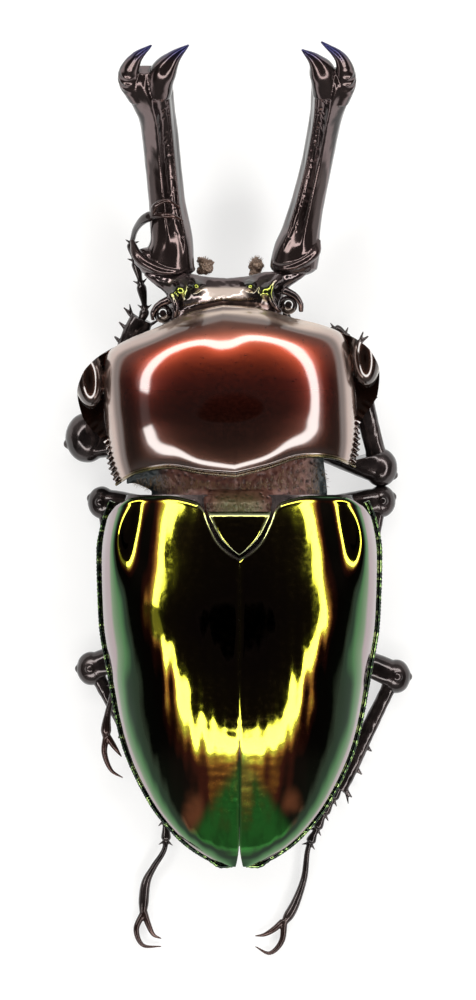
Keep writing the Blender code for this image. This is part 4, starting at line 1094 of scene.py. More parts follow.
shell("metasternum", join([tube(hind_body_rings(even(60, -0.5, 8.87)))]), LEG)
shell("abdomen", join([tube(hind_body_rings(even(170, 8.9, 26.0)))]), LEG)

# %% [markdown]
# ## Head
# The head is a broad, low block: a concave front edge between the jaws, two pairs of raised
# bosses behind it, and two ridges that run past each eye. Its dome is a slab with the bosses
# added to its height. The ridges are tubes that are melted into the slab by remeshing, which
# leaves soft joints, and the eyes are separate balls in their sockets.

# %% Sizes of the head
HEAD_SIDE = ((0.0, 4.3), (0.3, 4.3), (0.55, 4.6), (0.8, 5.6), (1.0, 6.3))
HEAD_FRONT = ((0.0, 2.5), (0.25, 2.65), (0.5, 2.95), (1.0, 2.95))
HEAD_CROWN = ((0.0, 7.9), (0.12, 7.85), (0.55, 7.45), (0.9, 6.95), (1.0, 6.6))
HEAD_EDGE = ((0.0, 5.6), (0.5, 5.6), (1.0, 5.9))
HEAD_BASE = 3.7
HEAD_SPAN = (-0.5, 1.0)
NECK_HALF_WIDTH = 4.5
EYES = {"eye_L": (5.65, -14.15, 6.5), "eye_R": (-3.8, -14.8, 6.5)}
EYE_RADII = (0.7, 0.72, 0.62)
BOSSES = ((3.38, 1.55, 0.62), (2.05, 1.95, 0.5))
BOSS_CENTRE = 0.27
CANTHUS = (
    ((5.0, -15.6, 7.1), (4.72, -14.9, 7.45), (4.72, -14.3, 7.5), (4.8, -13.8, 7.2)),
    ((5.1, -15.2, 6.7), (5.95, -14.8, 6.85), (6.4, -14.2, 6.85), (6.35, -13.7, 6.5)),
    ((-3.2, -16.9, 6.9), (-2.6, -16.3, 7.4), (-2.42, -15.5, 7.6), (-2.8, -14.7, 7.5), (-3.2, -14.3, 7.2)),
    ((-3.4, -15.9, 6.8), (-4.25, -15.5, 6.85), (-4.7, -14.9, 6.8), (-4.75, -14.3, 6.5)),
)


def head_place(u, v):
    """Plan position on the head, from the pronotum's front margin to the roots of the jaws."""
    x = u * smooth(HEAD_SIDE, v)
    neck_x = u * NECK_HALF_WIDTH
    margin = smooth(PRONOTUM_FRONT, abs(neck_x) / PRONOTUM_SIDE[-1][1])
    behind = turned(FORE_PIVOT, FORE_YAW, neck_x, margin + GAP + 0.05)
    before = turned(HEAD_AT, HEAD_YAW, x, smooth(HEAD_FRONT, abs(u)))
    there = behind + (before - behind) * v
    there.x = behind.x + (turned(HEAD_AT, HEAD_YAW, x, 0).x - behind.x) * max(0.0, min(1.0, 4 * v))
    return there


def boss_share(place):
    """How far a point of the head belongs to one of the four bosses."""
    x = place.x - HEAD_AT[0] - BOSS_CENTRE
    ahead = HEAD_AT[1] - place.y
    nearest = 9.0
    for aside, forward, size in BOSSES:
        nearest = min(nearest, math.hypot(abs(x) - aside, (ahead - forward) * 1.15) / size)
    return math.exp(-nearest ** 2.4)


print("front of the head, in the middle:", round(head_place(0, 1).y, 2))


# %% Head, ridges and eyes
def head_layers(u, v):
    place = head_place(u, v)
    edge = smooth(HEAD_EDGE, v)
    high = edge + (soft(HEAD_CROWN, v, 0.1) - edge) * (1 - abs(u) ** 2.6) ** 0.45
    high += 0.62 * boss_share(place) - 0.12 * bump(u, 0.0, 0.3) * bump(v, 0.75, 0.2)
    high -= 0.35 * max(0.0, -v) ** 0.5
    return place, high, arch(u, edge - 0.6, HEAD_BASE, 2.4)


def make_head():
    across = [math.sin(math.pi / 2 * s) for s in even(121, -1, 1)]
    bodies = [slab_between(even(80, *HEAD_SPAN), across, head_layers)]
    for line in CANTHUS:
        bodies.append(horn(line, ((0, 0.34), (0.5, 0.24), (1, 0.2)), 30, 12))
    mesh = melted(join(bodies), 0.07, 5)
    clear = [reach + 0.1 for reach in EYE_RADII]

    def hollow(co, normal):
        for centre in EYES.values():
            away = co - Vector(centre)
            reach = Vector((away.x / clear[0], away.y / clear[1], away.z / clear[2])).length
            if reach < 1:
                return away * (1 / max(0.3, reach) - 1)
        return normal * (0.02 * ripple(co, 0.35, 0.35))

    return paint(moved(mesh, hollow), "boss", boss_share)


shell("head", make_head(), HEAD)
for name, centre in EYES.items():
    shell(name, join([ball(centre, EYE_RADII, 48, 32)]), EYE)

# %% [markdown]
# ## Mandibles
# Each jaw is a long curved horn that rises towards its forked tip. It swells at the root into
# a rounded collar, carries two ridges along its top with small grains in the groove between
# them, and ends in two hooked prongs with small notches outside. The horn is drawn ring by
# ring, round at first and ridged further on. The prongs are melted into it, and the grains
# are raised from its skin.

# %% Sizes of the mandibles
MANDIBLE_L = (
    (0.0, (5.3, -17.6, 5.3), 2.1, 1.75), (0.06, (5.1, -18.7, 5.4), 1.8, 1.85),
    (0.12, (4.95, -19.7, 5.5), 1.62, 1.75), (0.18, (5.1, -20.7, 5.65), 1.55, 1.6),
    (0.3, (5.35, -22.8, 6.1), 1.38, 1.45),
    (0.46, (5.65, -25.8, 7.3), 1.38, 1.35), (0.64, (5.95, -28.5, 9.0), 1.4, 1.3),
    (0.8, (6.4, -30.4, 10.7), 1.7, 1.25), (0.93, (6.75, -31.6, 11.8), 1.9, 1.0),
    (1.0, (6.75, -32.3, 12.3), 1.25, 0.6),
)
MANDIBLE_R = (
    (0.0, (-4.2, -17.75, 5.3), 1.8, 1.75), (0.09, (-4.45, -19.0, 5.4), 1.75, 1.85),
    (0.18, (-4.75, -20.5, 5.6), 1.45, 1.65), (0.3, (-5.3, -22.8, 6.1), 1.25, 1.45),
    (0.46, (-5.98, -25.8, 7.3), 1.18, 1.35), (0.64, (-6.48, -28.5, 9.0), 1.22, 1.3),
    (0.8, (-6.85, -30.4, 10.7), 1.5, 1.25), (0.93, (-7.05, -31.5, 11.8), 1.7, 1.0),
    (1.0, (-7.05, -32.2, 12.3), 1.1, 0.6),
)
OUTER_PRONG = ((0.0, 0.9), (0.35, 0.8), (0.7, 0.43), (1.0, 0.08))
INNER_PRONG = ((0.0, 1.05), (0.35, 1.0), (0.7, 0.5), (1.0, 0.06))
PRONGS_L = (
    (((7.4, -30.4, 11.0), (8.2, -31.7, 12.1), (7.65, -33.1, 13.2), (6.44, -34.1, 14.0)), OUTER_PRONG),
    (((6.0, -30.7, 11.2), (5.65, -32.0, 12.3), (4.8, -33.2, 13.0), (3.65, -34.15, 13.4)), INNER_PRONG),
)
PRONGS_R = (
    (((-7.5, -30.2, 10.9), (-8.05, -31.5, 12.0), (-7.7, -33.1, 13.2), (-6.2, -34.35, 14.1)), OUTER_PRONG),
    (((-6.6, -30.7, 11.2), (-6.35, -32.0, 12.2), (-5.75, -33.0, 12.9), (-4.74, -33.8, 13.2)), INNER_PRONG),
)
COLLAR_L = ((8.0, -19.7, 6.0), (7.5, -18.4, 6.6), (6.2, -17.55, 6.95), (4.9, -17.3, 6.9), (3.6, -17.6, 6.2))
COLLAR_R = (
    (-6.1, -19.7, 6.0), (-5.75, -18.7, 6.6), (-4.7, -17.95, 6.95), (-3.5, -17.6, 6.9), (-2.6, -17.9, 6.2),
)
COLLAR_RADII = ((0.0, 0.16), (0.25, 0.42), (0.6, 0.34), (1.0, 0.12))
HEEL_L = ((6.9, -18.3, 5.6), (0.95, 0.85, 1.0))
HEEL_R = ((-5.2, -18.8, 5.6), (0.8, 0.95, 1.0))
SECTION = (
    (-1.0, -0.15), (-0.93, 0.38), (-0.68, 0.72), (-0.36, 0.98), (-0.18, 1.08), (-0.02, 0.92),
    (0.16, 0.74), (0.34, 0.66), (0.5, 0.72), (0.6, 0.84), (0.68, 0.7), (0.8, 0.3),
    (0.95, -0.1), (0.95, -0.5), (0.7, -0.85), (0.25, -1.0), (-0.3, -1.0), (-0.75, -0.75),
)


def closed_curve(points, count):
    """Points evenly along a closed smooth curve."""
    line = list(points[-2:]) + list(points) + list(points[:3])
    line = [Vector((x, y, 0)) for x, y in line]
    spans = len(line) - 1
    return [along(line, (2 + len(points) * k / count) / spans) for k in range(count)]


print("points drawn on a section:", len(SECTION))

# %% Mandibles
GRAINED_LENGTH = (0.12, 0.9)
GROOVE = (0.12, 0.56)


def mandible_rings(stations):
    """Sections along a jaw: round at the root, then ridged twice along the top."""
    def centre_at(share):
        return Vector([soft([(s[0], s[1][axis]) for s in stations], share, 0.05) for axis in range(3)])

    inner = -1 if stations[0][1][0] > 0 else 1
    ridged = closed_curve(SECTION, 80)
    rings, field = [], []
    for t in even(150, -0.05, 1.0):
        share = max(0.0, t)
        centre = centre_at(share)
        ahead = centre_at(min(share + 0.03, 1)) - centre_at(max(share - 0.03, 0))
        if t <= 0:
            ahead = Vector((0, -1, 0))
            centre.y -= t * 16
        ahead.normalize()
        close = math.sqrt(max(0.02, 1 - (t / 0.052) ** 2)) if t < 0 else 1.0
        wide = smooth([(s[0], s[2]) for s in stations], share) * close
        high = smooth([(s[0], s[3]) for s in stations], share) * close
        side = ahead.cross(Vector((0, 0, 1))).normalized()
        up = side.cross(ahead)
        if side.x * inner < 0:
            side = -side
        sharp = rise_between(t, 0.04, 0.26)
        points = []
        for p in ridged:
            plain = Vector((p.x, p.y, 0)).normalized()
            at = plain.lerp(p, sharp)
            points.append(centre + side * at.x * wide + up * at.y * high)
            in_groove = GROOVE[0] < p.x < GROOVE[1] and p.y > 0.6
            if in_groove and GRAINED_LENGTH[0] < t < GRAINED_LENGTH[1]:
                field.append(points[-1])
        rings.append(points)
    return rings, field


print("rings of a mandible:", len(mandible_rings(MANDIBLE_L)[0]))

# %% Prongs, collar and grains of a mandible
GRAIN_COUNT = 70
GRAIN_RADII = (0.06, 0.1)
GRAIN_HEIGHT = 0.035
NOTCHES_AT = -31.3
NOTCH_DEPTH = 0.09


def make_mandible(stations, prongs, collar, heel):
    rings, field = mandible_rings(stations)
    bodies = [tube(rings)]
    for line, radii in prongs:
        bodies.append(tube(limb(line, [(t, r, r * 1.05) for t, r in radii], even(40), 28, 2.2)))
    bodies.append(horn(collar, COLLAR_RADII, 40, 14))
    bodies.append(ball(*heel, 32, 20))
    mesh = melted(join(bodies), 0.07, 4)
    inner = -1 if stations[0][1][0] > 0 else 1
    grains = [(chance.choice(field), chance.uniform(*GRAIN_RADII)) for _ in range(GRAIN_COUNT)]
    tree = KDTree(len(grains))
    for index, (spot, size) in enumerate(grains):
        tree.insert(spot, index)
    tree.balance()

    def rough(co, normal):
        lift = 0.014 * ripple(co, 0.5, 1.4)
        spot, index, reach = tree.find(co)
        reach /= grains[index][1]
        if reach < 2.4:
            lift += GRAIN_HEIGHT * math.exp(-reach * reach)
        outside = max(0.0, min(1.0, (-inner * co.x - 7.6) / 0.8))
        notched = max(0.0, 1 - abs(co.y - NOTCHES_AT) / 1.2) * outside
        lift -= NOTCH_DEPTH * notched * abs(math.sin(co.z * 6 - co.y * 2.5))
        return normal * lift

    return moved(mesh, rough)


shell("mandible_L", make_mandible(MANDIBLE_L, PRONGS_L, COLLAR_L, HEEL_L), HORN)
shell("mandible_R", make_mandible(MANDIBLE_R, PRONGS_R, COLLAR_R, HEEL_R), HORN)

# %% [markdown]
# ## Mouthparts and feelers
# Under the front of the head lie the chin plate, a small upper lip, two hairy brush lobes for
# licking sap, four short feelers, and the elbowed antennae folded back with their leafy
# clubs. The short feelers and the antennae are tubes with waists; the antennae are melted
# into one skin.

# %% Chin, lip and brush lobes
def plate(half_at, reach, start, lift, thickness, count=24):
    top = []
    for v in even(count):
        half = half_at(v)
        top.append([
            turned(HEAD_AT, HEAD_YAW, u * half, start + reach * v, lift - 0.12 * u * u)
            for u in even(31, -1, 1)
        ])
    bottom = [[p - Vector((0, 0, thickness)) for p in row] for row in top]
    return slab(top, bottom)


chin = plate(lambda v: smooth(((0.0, 1.5), (0.5, 2.3), (1.0, 1.9)), v), 1.5, 0.4, HEAD_BASE - GAP, 0.55)
shell("mentum", melted(join([chin]), 0.06, 6), LEG)
lip = plate(lambda v: 1.35 - 0.5 * v * v, 0.4, 2.15, HEAD_BASE - GAP, 0.5, 12)
shell("labrum", melted(join([lip]), 0.06, 6), LEG)
BRUSH_LOBES = {"galea_L": (2.5, -17.7, 4.4), "galea_R": (-1.4, -17.8, 4.4)}
LOBE_SIZE = (0.46, 0.6, 0.4)
LUMPS = 7
for name, at in BRUSH_LOBES.items():
    lumps = [ball(at, LOBE_SIZE)]
    for _ in range(LUMPS):
        aside = Vector((chance.uniform(-0.45, 0.4), chance.uniform(-0.55, 0.6), chance.uniform(-0.1, 0.15)))
        lumps.append(ball(Vector(at) + aside, [chance.uniform(0.2, 0.34) for _ in range(3)], 16, 12))
    lobe = moved(
        melted(join(lumps), 0.04, 1),
        lambda co, normal: normal * (0.1 * noise.noise(co * 4.1) + 0.06 * noise.noise(co * 11.0)),
    )
    shell(name, lobe, BRUSH)


# %% Short feelers
def feeler(line, beads, radius):
    sizes = []
    for bead in range(beads):
        sizes += [(bead / beads, radius * 0.6, radius * 0.6), ((bead + 0.6) / beads, radius, radius)]
    sizes.append((1.0, radius * 0.4, radius * 0.4))
    return tube(limb(line, sizes, even(14 * beads), 16))


PALP_ROOT = (2.3, 2.45)
# Palps: name, distance from the middle, length, segments and radius.
PALPS = (("maxillary", 1.2, 1.2, 3, 0.26), ("labial", 0.5, 0.8, 2, 0.25))

for side, name in ((1, "L"), (-1, "R")):
    for kind, aside, reach, beads, radius in PALPS:
        root = turned(HEAD_AT, HEAD_YAW, side * aside, *PALP_ROOT)
        line = [root + Vector((side * 0.05, reach, -0.15)) * step for step in (0, 0.5, 1)]
        shell(kind + "_palp_" + name, join([feeler(line, beads, radius)]), LEG)


# %% Antennae
def make_antenna(side):
    scape = [
        turned(HEAD_AT, HEAD_YAW, side * x, a, z)
        for x, a, z in ((4.0, 2.3, 3.5), (4.3, 0.6, 3.0), (4.6, -1.0, 2.6))
    ]
    stalk = [
        turned(HEAD_AT, HEAD_YAW, side * x, a, z)
        for x, a, z in ((4.6, -1.1, 2.6), (4.2, -0.5, 2.3), (3.7, 0.3, 2.2), (3.0, 1.2, 2.1))
    ]
    sizes = []
    for bead in range(5):
        sizes += [(bead / 5, 0.17, 0.17), ((bead + 0.6) / 5, 0.32, 0.29)]
    sizes.append((1.0, 0.24, 0.22))
    bodies = [tube(limb(stalk, sizes, even(60), 14))]
    scape_sizes = ((0, 0.24, 0.24), (0.5, 0.25, 0.25), (0.9, 0.36, 0.34), (1, 0.25, 0.25))
    bodies.append(tube(limb(scape, scape_sizes, even(30), 14)))
    for leaf in range(4):
        at = stalk[-1] + Vector((-side * 0.24, -0.27, 0)) * leaf
        bodies.append(ball(at, (0.2, 0.66 - 0.04 * leaf, 0.3), 18, 12, math.radians(42 * side)))
    return melted(join(bodies), 0.05, 2)


shell("antenna_L", make_antenna(1), LEG)
shell("antenna_R", make_antenna(-1), LEG)

# %% [markdown]
# ## Legs
# The dried legs are drawn in. Each has a short coxa, a thick femur with a round knee, a
# slender tibia with outer teeth, and a foot of five small segments with two hooked claws.
# One function builds any leg from the place of its hip, knee, tibia tip and foot. Teeth and
# claws are melted in, so they grow out of the shell with no seam.

# %% Places of the legs
LEGS = {
    "fore_L": {
        "coxa": 1.5, "hip": (4.2, -5.9, 1.5), "knee": (11.3, -4.85, 1.4), "knee_size": (1.7, 1.55),
        "tip": (7.25, -13.8, 3.0), "tibia": (0.6, 0.95), "teeth": 5, "outer": 1,
        "foot": ((7.05, -14.5, 3.1), (7.3, -16.2, 3.0), (7.65, -17.8, 3.0), (8.0, -19.1, 3.4),
                 (7.9, -19.95, 4.3), (7.65, -20.6, 5.5), (7.1, -21.2, 6.9), (6.3, -21.6, 7.95)),
        "claws": (((6.4, -21.5, 7.85), (6.2, -22.2, 8.6), (5.3, -22.6, 8.8), (4.3, -22.0, 8.3)),
                  ((6.4, -21.5, 7.85), (5.6, -21.5, 8.5), (4.8, -21.4, 8.5), (4.1, -21.1, 8.0))),
    },
    "fore_R": {
        "coxa": -1.5, "hip": (-4.2, -5.3, 1.5), "knee": (-10.7, -2.6, 1.2), "knee_size": (1.3, 1.35),
        "tip": (-8.35, -11.9, 2.2), "tibia": (0.75, 0.95), "teeth": 5, "outer": -1,
        "foot": ((-7.95, -12.75, 2.1), (-7.1, -12.95, 1.9), (-6.4, -12.2, 1.7), (-6.0, -11.0, 1.4),
                 (-5.9, -9.9, 1.2), (-5.8, -8.7, 1.0)),
        "claws": (((-5.8, -8.7, 1.0), (-5.9, -8.1, 0.9), (-5.6, -7.7, 0.7)),
                  ((-5.7, -8.7, 1.0), (-5.2, -8.2, 0.9), (-5.0, -7.8, 0.7))),
    },
    "mid_L": {
        "coxa": 1.3, "hip": (4.0, 1.2, 1.35), "knee": (10.2, 0.1, 1.0), "knee_size": (1.1, 1.15),
        "tip": (8.7, 9.2, 1.5), "tibia": (0.5, 0.62), "teeth": 3, "outer": 1,
        "foot": ((8.65, 9.8, 1.8), (8.8, 11.2, 2.9), (9.1, 12.8, 3.2), (9.5, 14.6, 3.1), (9.9, 16.4, 2.7),
                 (10.0, 17.8, 2.4)),
        "claws": (((9.95, 17.7, 2.4), (10.1, 19.0, 2.2), (9.6, 20.3, 1.9), (8.7, 20.9, 1.7)),
                  ((9.9, 17.7, 2.4), (9.3, 18.6, 2.4), (8.8, 19.3, 2.2))),
    },
    "mid_R": {
        "coxa": -1.3, "hip": (-4.0, 1.2, 1.35), "knee": (-10.75, 0.0, 1.0), "knee_size": (1.1, 1.15),
        "tip": (-9.0, 9.3, 1.5), "tibia": (0.5, 0.62), "teeth": 3, "outer": -1,
        "foot": ((-8.9, 9.9, 1.8), (-8.6, 11.3, 2.9), (-8.2, 12.9, 3.2), (-7.8, 14.6, 3.1),
                 (-7.5, 16.2, 2.7), (-7.3, 17.4, 2.4)),
        "claws": (((-7.3, 17.4, 2.4), (-7.5, 18.4, 2.3), (-7.2, 19.2, 2.1)),
                  ((-7.2, 17.4, 2.4), (-6.7, 18.1, 2.3), (-6.5, 18.8, 2.1))),
    },
    "hind_L": {
        "coxa": 1.5, "hip": (4.0, 10.3, 1.3), "knee": (11.0, 12.6, 1.0), "knee_size": (1.15, 1.15),
        "tip": (6.5, 20.4, 1.0), "tibia": (0.55, 0.68), "teeth": 3, "outer": 1,
        "foot": ((6.1, 21.1, 0.95), (5.8, 22.4, 0.85), (5.6, 23.8, 0.8), (5.45, 25.2, 0.8), (5.6, 26.4, 0.8),
                 (6.4, 27.7, 0.75), (7.0, 29.0, 0.7), (7.2, 31.3, 0.6)),
        "claws": (((7.15, 31.1, 0.6), (7.7, 32.4, 0.6), (7.2, 33.6, 0.45), (5.8, 33.7, 0.3)),
                  ((7.1, 31.1, 0.6), (6.8, 32.0, 0.7), (6.4, 32.8, 0.55), (5.8, 33.1, 0.4))),
    },
    "hind_R": {
        "coxa": -1.5, "hip": (-4.0, 10.4, 1.3), "knee": (-11.85, 13.2, 1.0), "knee_size": (1.15, 1.15),
        "tip": (-7.6, 21.8, 1.0), "tibia": (0.55, 0.68), "teeth": 3, "outer": -1,
        "foot": ((-7.2, 22.5, 0.95), (-6.6, 23.5, 0.85), (-6.1, 24.5, 0.8), (-5.6, 25.5, 0.8),
                 (-5.25, 26.5, 0.8), (-5.0, 28.5, 0.75), (-4.3, 30.5, 0.7), (-3.5, 31.9, 0.6)),
        "claws": (((-3.5, 31.8, 0.6), (-3.3, 33.3, 0.6), (-2.4, 34.2, 0.45), (-1.3, 33.7, 0.3)),
                  ((-3.4, 31.8, 0.6), (-2.7, 32.4, 0.7), (-2.0, 32.8, 0.55), (-1.3, 32.9, 0.4))),
    },
}
CLAW_RADII = ((0.0, 0.27), (0.4, 0.22), (1.0, 0.05))
BEAD = 0.38
WAIST_OF_BEAD = 0.2
COXA_SIZES = ((0.0, 0.6, 0.9), (0.35, 1.05, 1.3), (0.8, 0.95, 1.2), (1.0, 0.85, 0.85))
FLOOR_CLEARANCE = 0.02
print("legs:", ", ".join(LEGS))


# %% Coxa and femur
def make_thigh(name, leg):
    hip, knee, tip = (Vector(leg[key]) for key in ("hip", "knee", "tip"))
    out = (knee - hip).normalized()
    down = (tip - knee).normalized()
    ceiling = THROAT - GAP if name.startswith("fore") else BELLY - GAP
    inner = Vector((leg["coxa"] * 0.75, hip.y - out.y * 2, hip.z + 0.1))
    outer = hip - out * GAP
    rings = limb((inner, inner.lerp(outer, 0.5), outer), COXA_SIZES, even(30), 40, 2.4, last=out)
    press(rings, (0, 0, ceiling), (0, 0, 1))
    press(rings, outer, out)
    shell("coxa_" + name, join([tube(rings)]), LEG)

    wide, high = leg["knee_size"]
    end = knee + out * wide * 0.9
    sizes = (
        (0.0, 0.85, 0.85), (0.35, wide, high * 0.92), (0.75, wide, high),
        (0.9, wide * 0.9, high * 0.9), (1.0, wide * 0.3, high * 0.35),
    )
    rings = limb((hip, hip.lerp(end, 0.5), end), sizes, spread(50), 48, 2.2)
    press(rings, (0, 0, ceiling - 0.05), (0, 0, 1))
    press(rings, hip, -out)
    middles = [(row[0] + row[len(row) // 2]) / 2 for row in rings]
    by_knee = [row for row, middle in zip(rings, middles) if (middle - knee).length < 2.5 * wide]
    press(by_knee, knee + down * wide * 0.85, down)
    press(rings, (0, 0, 0), (0, 0, -1))
    bodies = [tube(rings)]
    if not name.startswith("fore"):
        bodies.append(ball(knee + Vector((0, 0, high * 0.82)) + out * 0.2, (0.42, 0.42, 0.3)))
    bodies.append(ball(end - out * 0.25 - down * wide * 0.2, (0.5, 0.42, 0.4)))
    bodies.append(ball(knee + out * 0.1, (wide * 0.98, wide * 1.12, high * 0.98), 40, 28))
    mesh = melted(join(bodies), 0.07, 4)
    moved(mesh, lambda co, normal: normal * (0.02 * ripple(co, 0.6, 0.6)) if co.z > 0.1 else Vector())
    shell("femur_" + name, mesh, LEG)


# %% Tibia with teeth and spurs
def make_tibia(name, leg):
    knee, tip = Vector(leg["knee"]), Vector(leg["tip"])
    down = (tip - knee).normalized()
    wide = leg["knee_size"][0]
    start = knee + down * (wide * 0.85 - GAP)
    thin, broad = leg["tibia"]
    length = (tip - start).length
    sizes = (
        (0.0, thin * 1.2, thin * 1.1), (0.08, thin, thin * 0.9),
        (0.9, broad, thin * 0.95), (1.0, broad * 0.9, thin * 0.8),
    )
    rings = limb((start, start.lerp(tip, 0.5), tip), sizes, even(60), 28, 2.3)
    press(rings, (0, 0, 0), (0, 0, -1))
    press(rings, start, -down)
    press(rings, tip, down)
    bodies = [tube(rings)]
    across = down.cross(Vector((0, 0, 1))).normalized()
    across *= leg["outer"] if across.x > 0 else -leg["outer"]
    for tooth in range(leg["teeth"]):
        share = 0.97 - 0.62 * tooth / max(1, leg["teeth"])
        reach = 0.95 * (1.0 - 0.13 * tooth) * (1.0 if name.startswith("fore") else 0.75)
        half = smooth(((0.0, thin), (0.9, broad)), share)
        root = start + down * length * share + across * (half * 0.35)
        point = root + across * (half * 0.6 + reach * 0.75) + down * reach * 0.5
        point.z = max(point.z, 0.15)
        bodies.append(horn((root, root.lerp(point, 0.5), point), ((0.0, 0.3), (1.0, 0.06)), 10, 12))
    for spur in (-1, 1):
        root = tip - down * 0.45 + across * spur * broad * 0.6
        line = (root, root + down * 0.6 + across * spur * 0.4, root + down * 1.1 + across * spur * 0.75)
        bodies.append(horn(line, ((0.0, 0.2), (1.0, 0.05)), 10, 10))
    mesh = melted(join(bodies), 0.055, 3)
    moved(mesh, lambda co, normal: normal * (0.025 * ripple(co, 0.3, 0.6)) if co.z > 0.1 else Vector())
    shell("tibia_" + name, mesh, LEG)


# %% Foot with claws
def make_foot(name, leg):
    knee, tip = Vector(leg["knee"]), Vector(leg["tip"])
    down = (tip - knee).normalized()
    start = tip - down * GAP
    line = [start] + list(leg["foot"])
    last = 0.56 if len(leg["foot"]) > 6 else 0.6
    sizes = []
    for joint in range(4):
        base = last * joint / 4
        sizes.append((base, WAIST_OF_BEAD, WAIST_OF_BEAD))
        sizes.append((base + 0.75 * last / 4, BEAD, BEAD * 0.9))
    sizes.append((last, WAIST_OF_BEAD, WAIST_OF_BEAD))
    sizes += [(last + 0.2, 0.26, 0.26), (0.94, 0.4, 0.38), (1.0, 0.25, 0.25)]
    rings = limb(line, sizes, even(130), 18, first=down)
    press(rings, (0, 0, FLOOR_CLEARANCE), (0, 0, -1))
    press(rings[:4], start, -down)
    bodies = [tube(rings)]
    for claw in leg["claws"]:
        hook = limb(claw, [(t, r, r) for t, r in CLAW_RADII], even(24), 12)
        press(hook, (0, 0, FLOOR_CLEARANCE), (0, 0, -1))
        bodies.append(tube(hook))
    for joint in range(1, 5):
        at = along(line, last * (joint - 0.12) / 4)
        ahead = (along(line, last * joint / 4) - at).normalized()
        for side in (-1, 1):
            across = ahead.cross(Vector((0, 0, 1))).normalized() * side
            point = at + across * 0.55 + ahead * 0.4
            bodies.append(horn((at, at.lerp(point, 0.6), point), ((0, 0.14), (1, 0.03)), 6, 8))
    mesh = melted(join(bodies), 0.045, 2)
    ends = [Vector(claw[-1]) for claw in leg["claws"]]
    claw_root = Vector(leg["claws"][0][0])
    reach = max((end - claw_root).length for end in ends)

    def redness(co):
        near = min((co - end).length for end in ends) / reach
        return max(0.0, min(1.0, 1.15 - near))

    shell("tarsus_" + name, paint(mesh, "claw", redness), LEG)


for name, leg in LEGS.items():
    make_thigh(name, leg)
    make_tibia(name, leg)
    make_foot(name, leg)

# %% [markdown]
# ## Hairs
# Short golden hair covers the waist, a fringe lines the back of the head where it meets the
# pronotum, and the brush lobes of the mouth are tufted. Each hair is a thin bent spike with
# three sides, all joined in one mesh. A flat map named for the bake gives every hair a tiny
# patch where its root stands on the skin's own unrolled map.


# %% Hairs as one mesh
PATCH_RADIUS = 0.0015
HAIR_RADIUS = 0.012
FRINGE_RADIUS = 0.013


def make_hairs(name, hairs, finish):
    """Each hair is (root, way, length, thickness, bend, spot), with spot its root on the flat map."""
    body = bmesh.new()
    flat = body.loops.layers.uv.new("OFBake")
    for root, way, length, thickness, bend, spot in hairs:
        way = way.normalized()
        side = way.orthogonal().normalized()
        other = way.cross(side)
        rows = []
        for t in (0.0, 0.5, 0.8):
            centre = root + way * length * t + bend * (t * t * length)
            size_here = thickness * (1 - 0.55 * t)
            rows.append([
                body.verts.new(centre + (side * math.cos(a) + other * math.sin(a)) * size_here)
                for a in (0.0, 2.094, 4.189)
            ])
        tip = body.verts.new(root + way * length + bend * length)
        faces = [body.faces.new(rows[0])]
        for low, high in zip(rows, rows[1:]):
            for i in range(3):
                faces.append(body.faces.new((low[i], low[(i + 1) % 3], high[(i + 1) % 3], high[i])))
        for i in range(3):
            faces.append(body.faces.new((rows[-1][i], rows[-1][(i + 1) % 3], tip)))
        for face in faces:
            for k, loop in enumerate(face.loops):
                across, upward = PATCH_RADIUS * math.cos(2.1 * k), PATCH_RADIUS * math.sin(2.1 * k)
                loop[flat].uv = (spot[0] + across, spot[1] + upward)
    bmesh.ops.recalc_face_normals(body, faces=body.faces)
    mesh = bpy.data.meshes.new(name)
    body.to_mesh(mesh)
    body.free()
    return piece(name, mesh, finish)


print("half width of a hair's patch on the flat map:", PATCH_RADIUS)


# %% Hair of the waist
def waist_spot(u, v):
    """The place of a point of the waist on its unrolled skin."""
    return (0.5 + 0.48 * u, (v - WAIST_SPAN[0]) / (WAIST_SPAN[1] - WAIST_SPAN[0]))


WAIST_HAIRS = 1800
FLANK_HAIRS = 60

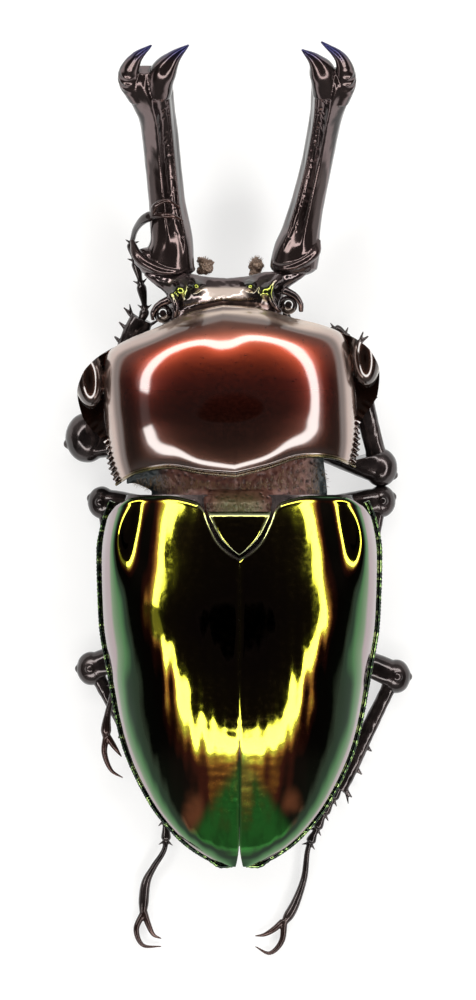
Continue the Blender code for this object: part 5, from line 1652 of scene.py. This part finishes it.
hairs = []
while len(hairs) < WAIST_HAIRS:
    u, v = chance.uniform(-0.92, 0.92), chance.uniform(0.0, 1.85)
    place = waist_place(u, v)
    if abs(place.x) < 0.09 or v > 1 and abs(place.x) > 2.4:
        continue
    root = Vector((place.x, place.y, waist_height(u, v, place) - 0.02))
    way = Vector((chance.uniform(-0.35, 0.35), 0.9, 0.6 + chance.uniform(-0.3, 0.3)))
    length = chance.uniform(0.2, 0.42)
    hairs.append((root, way, length, HAIR_RADIUS, Vector((0, 0.15, -0.25)), waist_spot(u, v)))
for side in (1, -1):
    for _ in range(FLANK_HAIRS):
        v = chance.uniform(0.2, 0.9)
        u = side * chance.uniform(0.93, 0.99)
        place = waist_place(u, v)
        root = Vector((place.x, place.y, waist_height(u, v, place) - 0.1))
        way = Vector((side * chance.uniform(0.5, 1.0), chance.uniform(-0.1, 0.8), chance.uniform(-0.2, 0.4)))
        length = chance.uniform(0.25, 0.5)
        hairs.append((root, way, length, HAIR_RADIUS, Vector((0, 0.1, -0.15)), waist_spot(u, v)))
make_hairs("waist_hair", hairs, GOLD_HAIR)

# %% Fringe between the head and the pronotum
FRINGE_HAIRS = 380

hairs = []
for _ in range(FRINGE_HAIRS):
    u = chance.uniform(-0.7, 0.7)
    root = head_place(u, 0.03)
    root.z = smooth(HEAD_CROWN, 0.0) - 1.9 * abs(u) ** 3 - 0.03
    way = Vector((chance.uniform(-0.3, 0.3), -0.8, 0.5 + chance.uniform(-0.2, 0.2)))
    length = chance.uniform(0.15, 0.35)
    hairs.append((root, way, length, FRINGE_RADIUS, Vector((0, -0.15, -0.2)), (0.5 + 0.48 * u, 0.33)))
make_hairs("head_fringe", hairs, GOLD_HAIR)

# %% Tufts of the brush lobes
TUFT_HAIRS = 200

hairs = []
for side in (1, -1):
    centre = Vector(BRUSH_LOBES["galea_L" if side > 0 else "galea_R"])
    for _ in range(TUFT_HAIRS):
        way = Vector((chance.gauss(0, 1), chance.gauss(-0.5, 1), chance.gauss(0.3, 1))).normalized()
        root = centre + Vector([a * b for a, b in zip(way, LOBE_SIZE)])
        turn = math.atan2(way.y, way.x) / math.pi
        spot = (0.25 + 0.5 * (side < 0) + 0.2 * turn, 0.5 + 0.3 * math.asin(way.z))
        hairs.append((root, way, chance.uniform(0.1, 0.25), FRINGE_RADIUS, Vector((0, -0.2, 0)), spot))
make_hairs("brush_hair", hairs, BRUSH)

# %% [markdown]
# ## Closing
# The lesson ends here.

# %% End
print("the beetle is built")
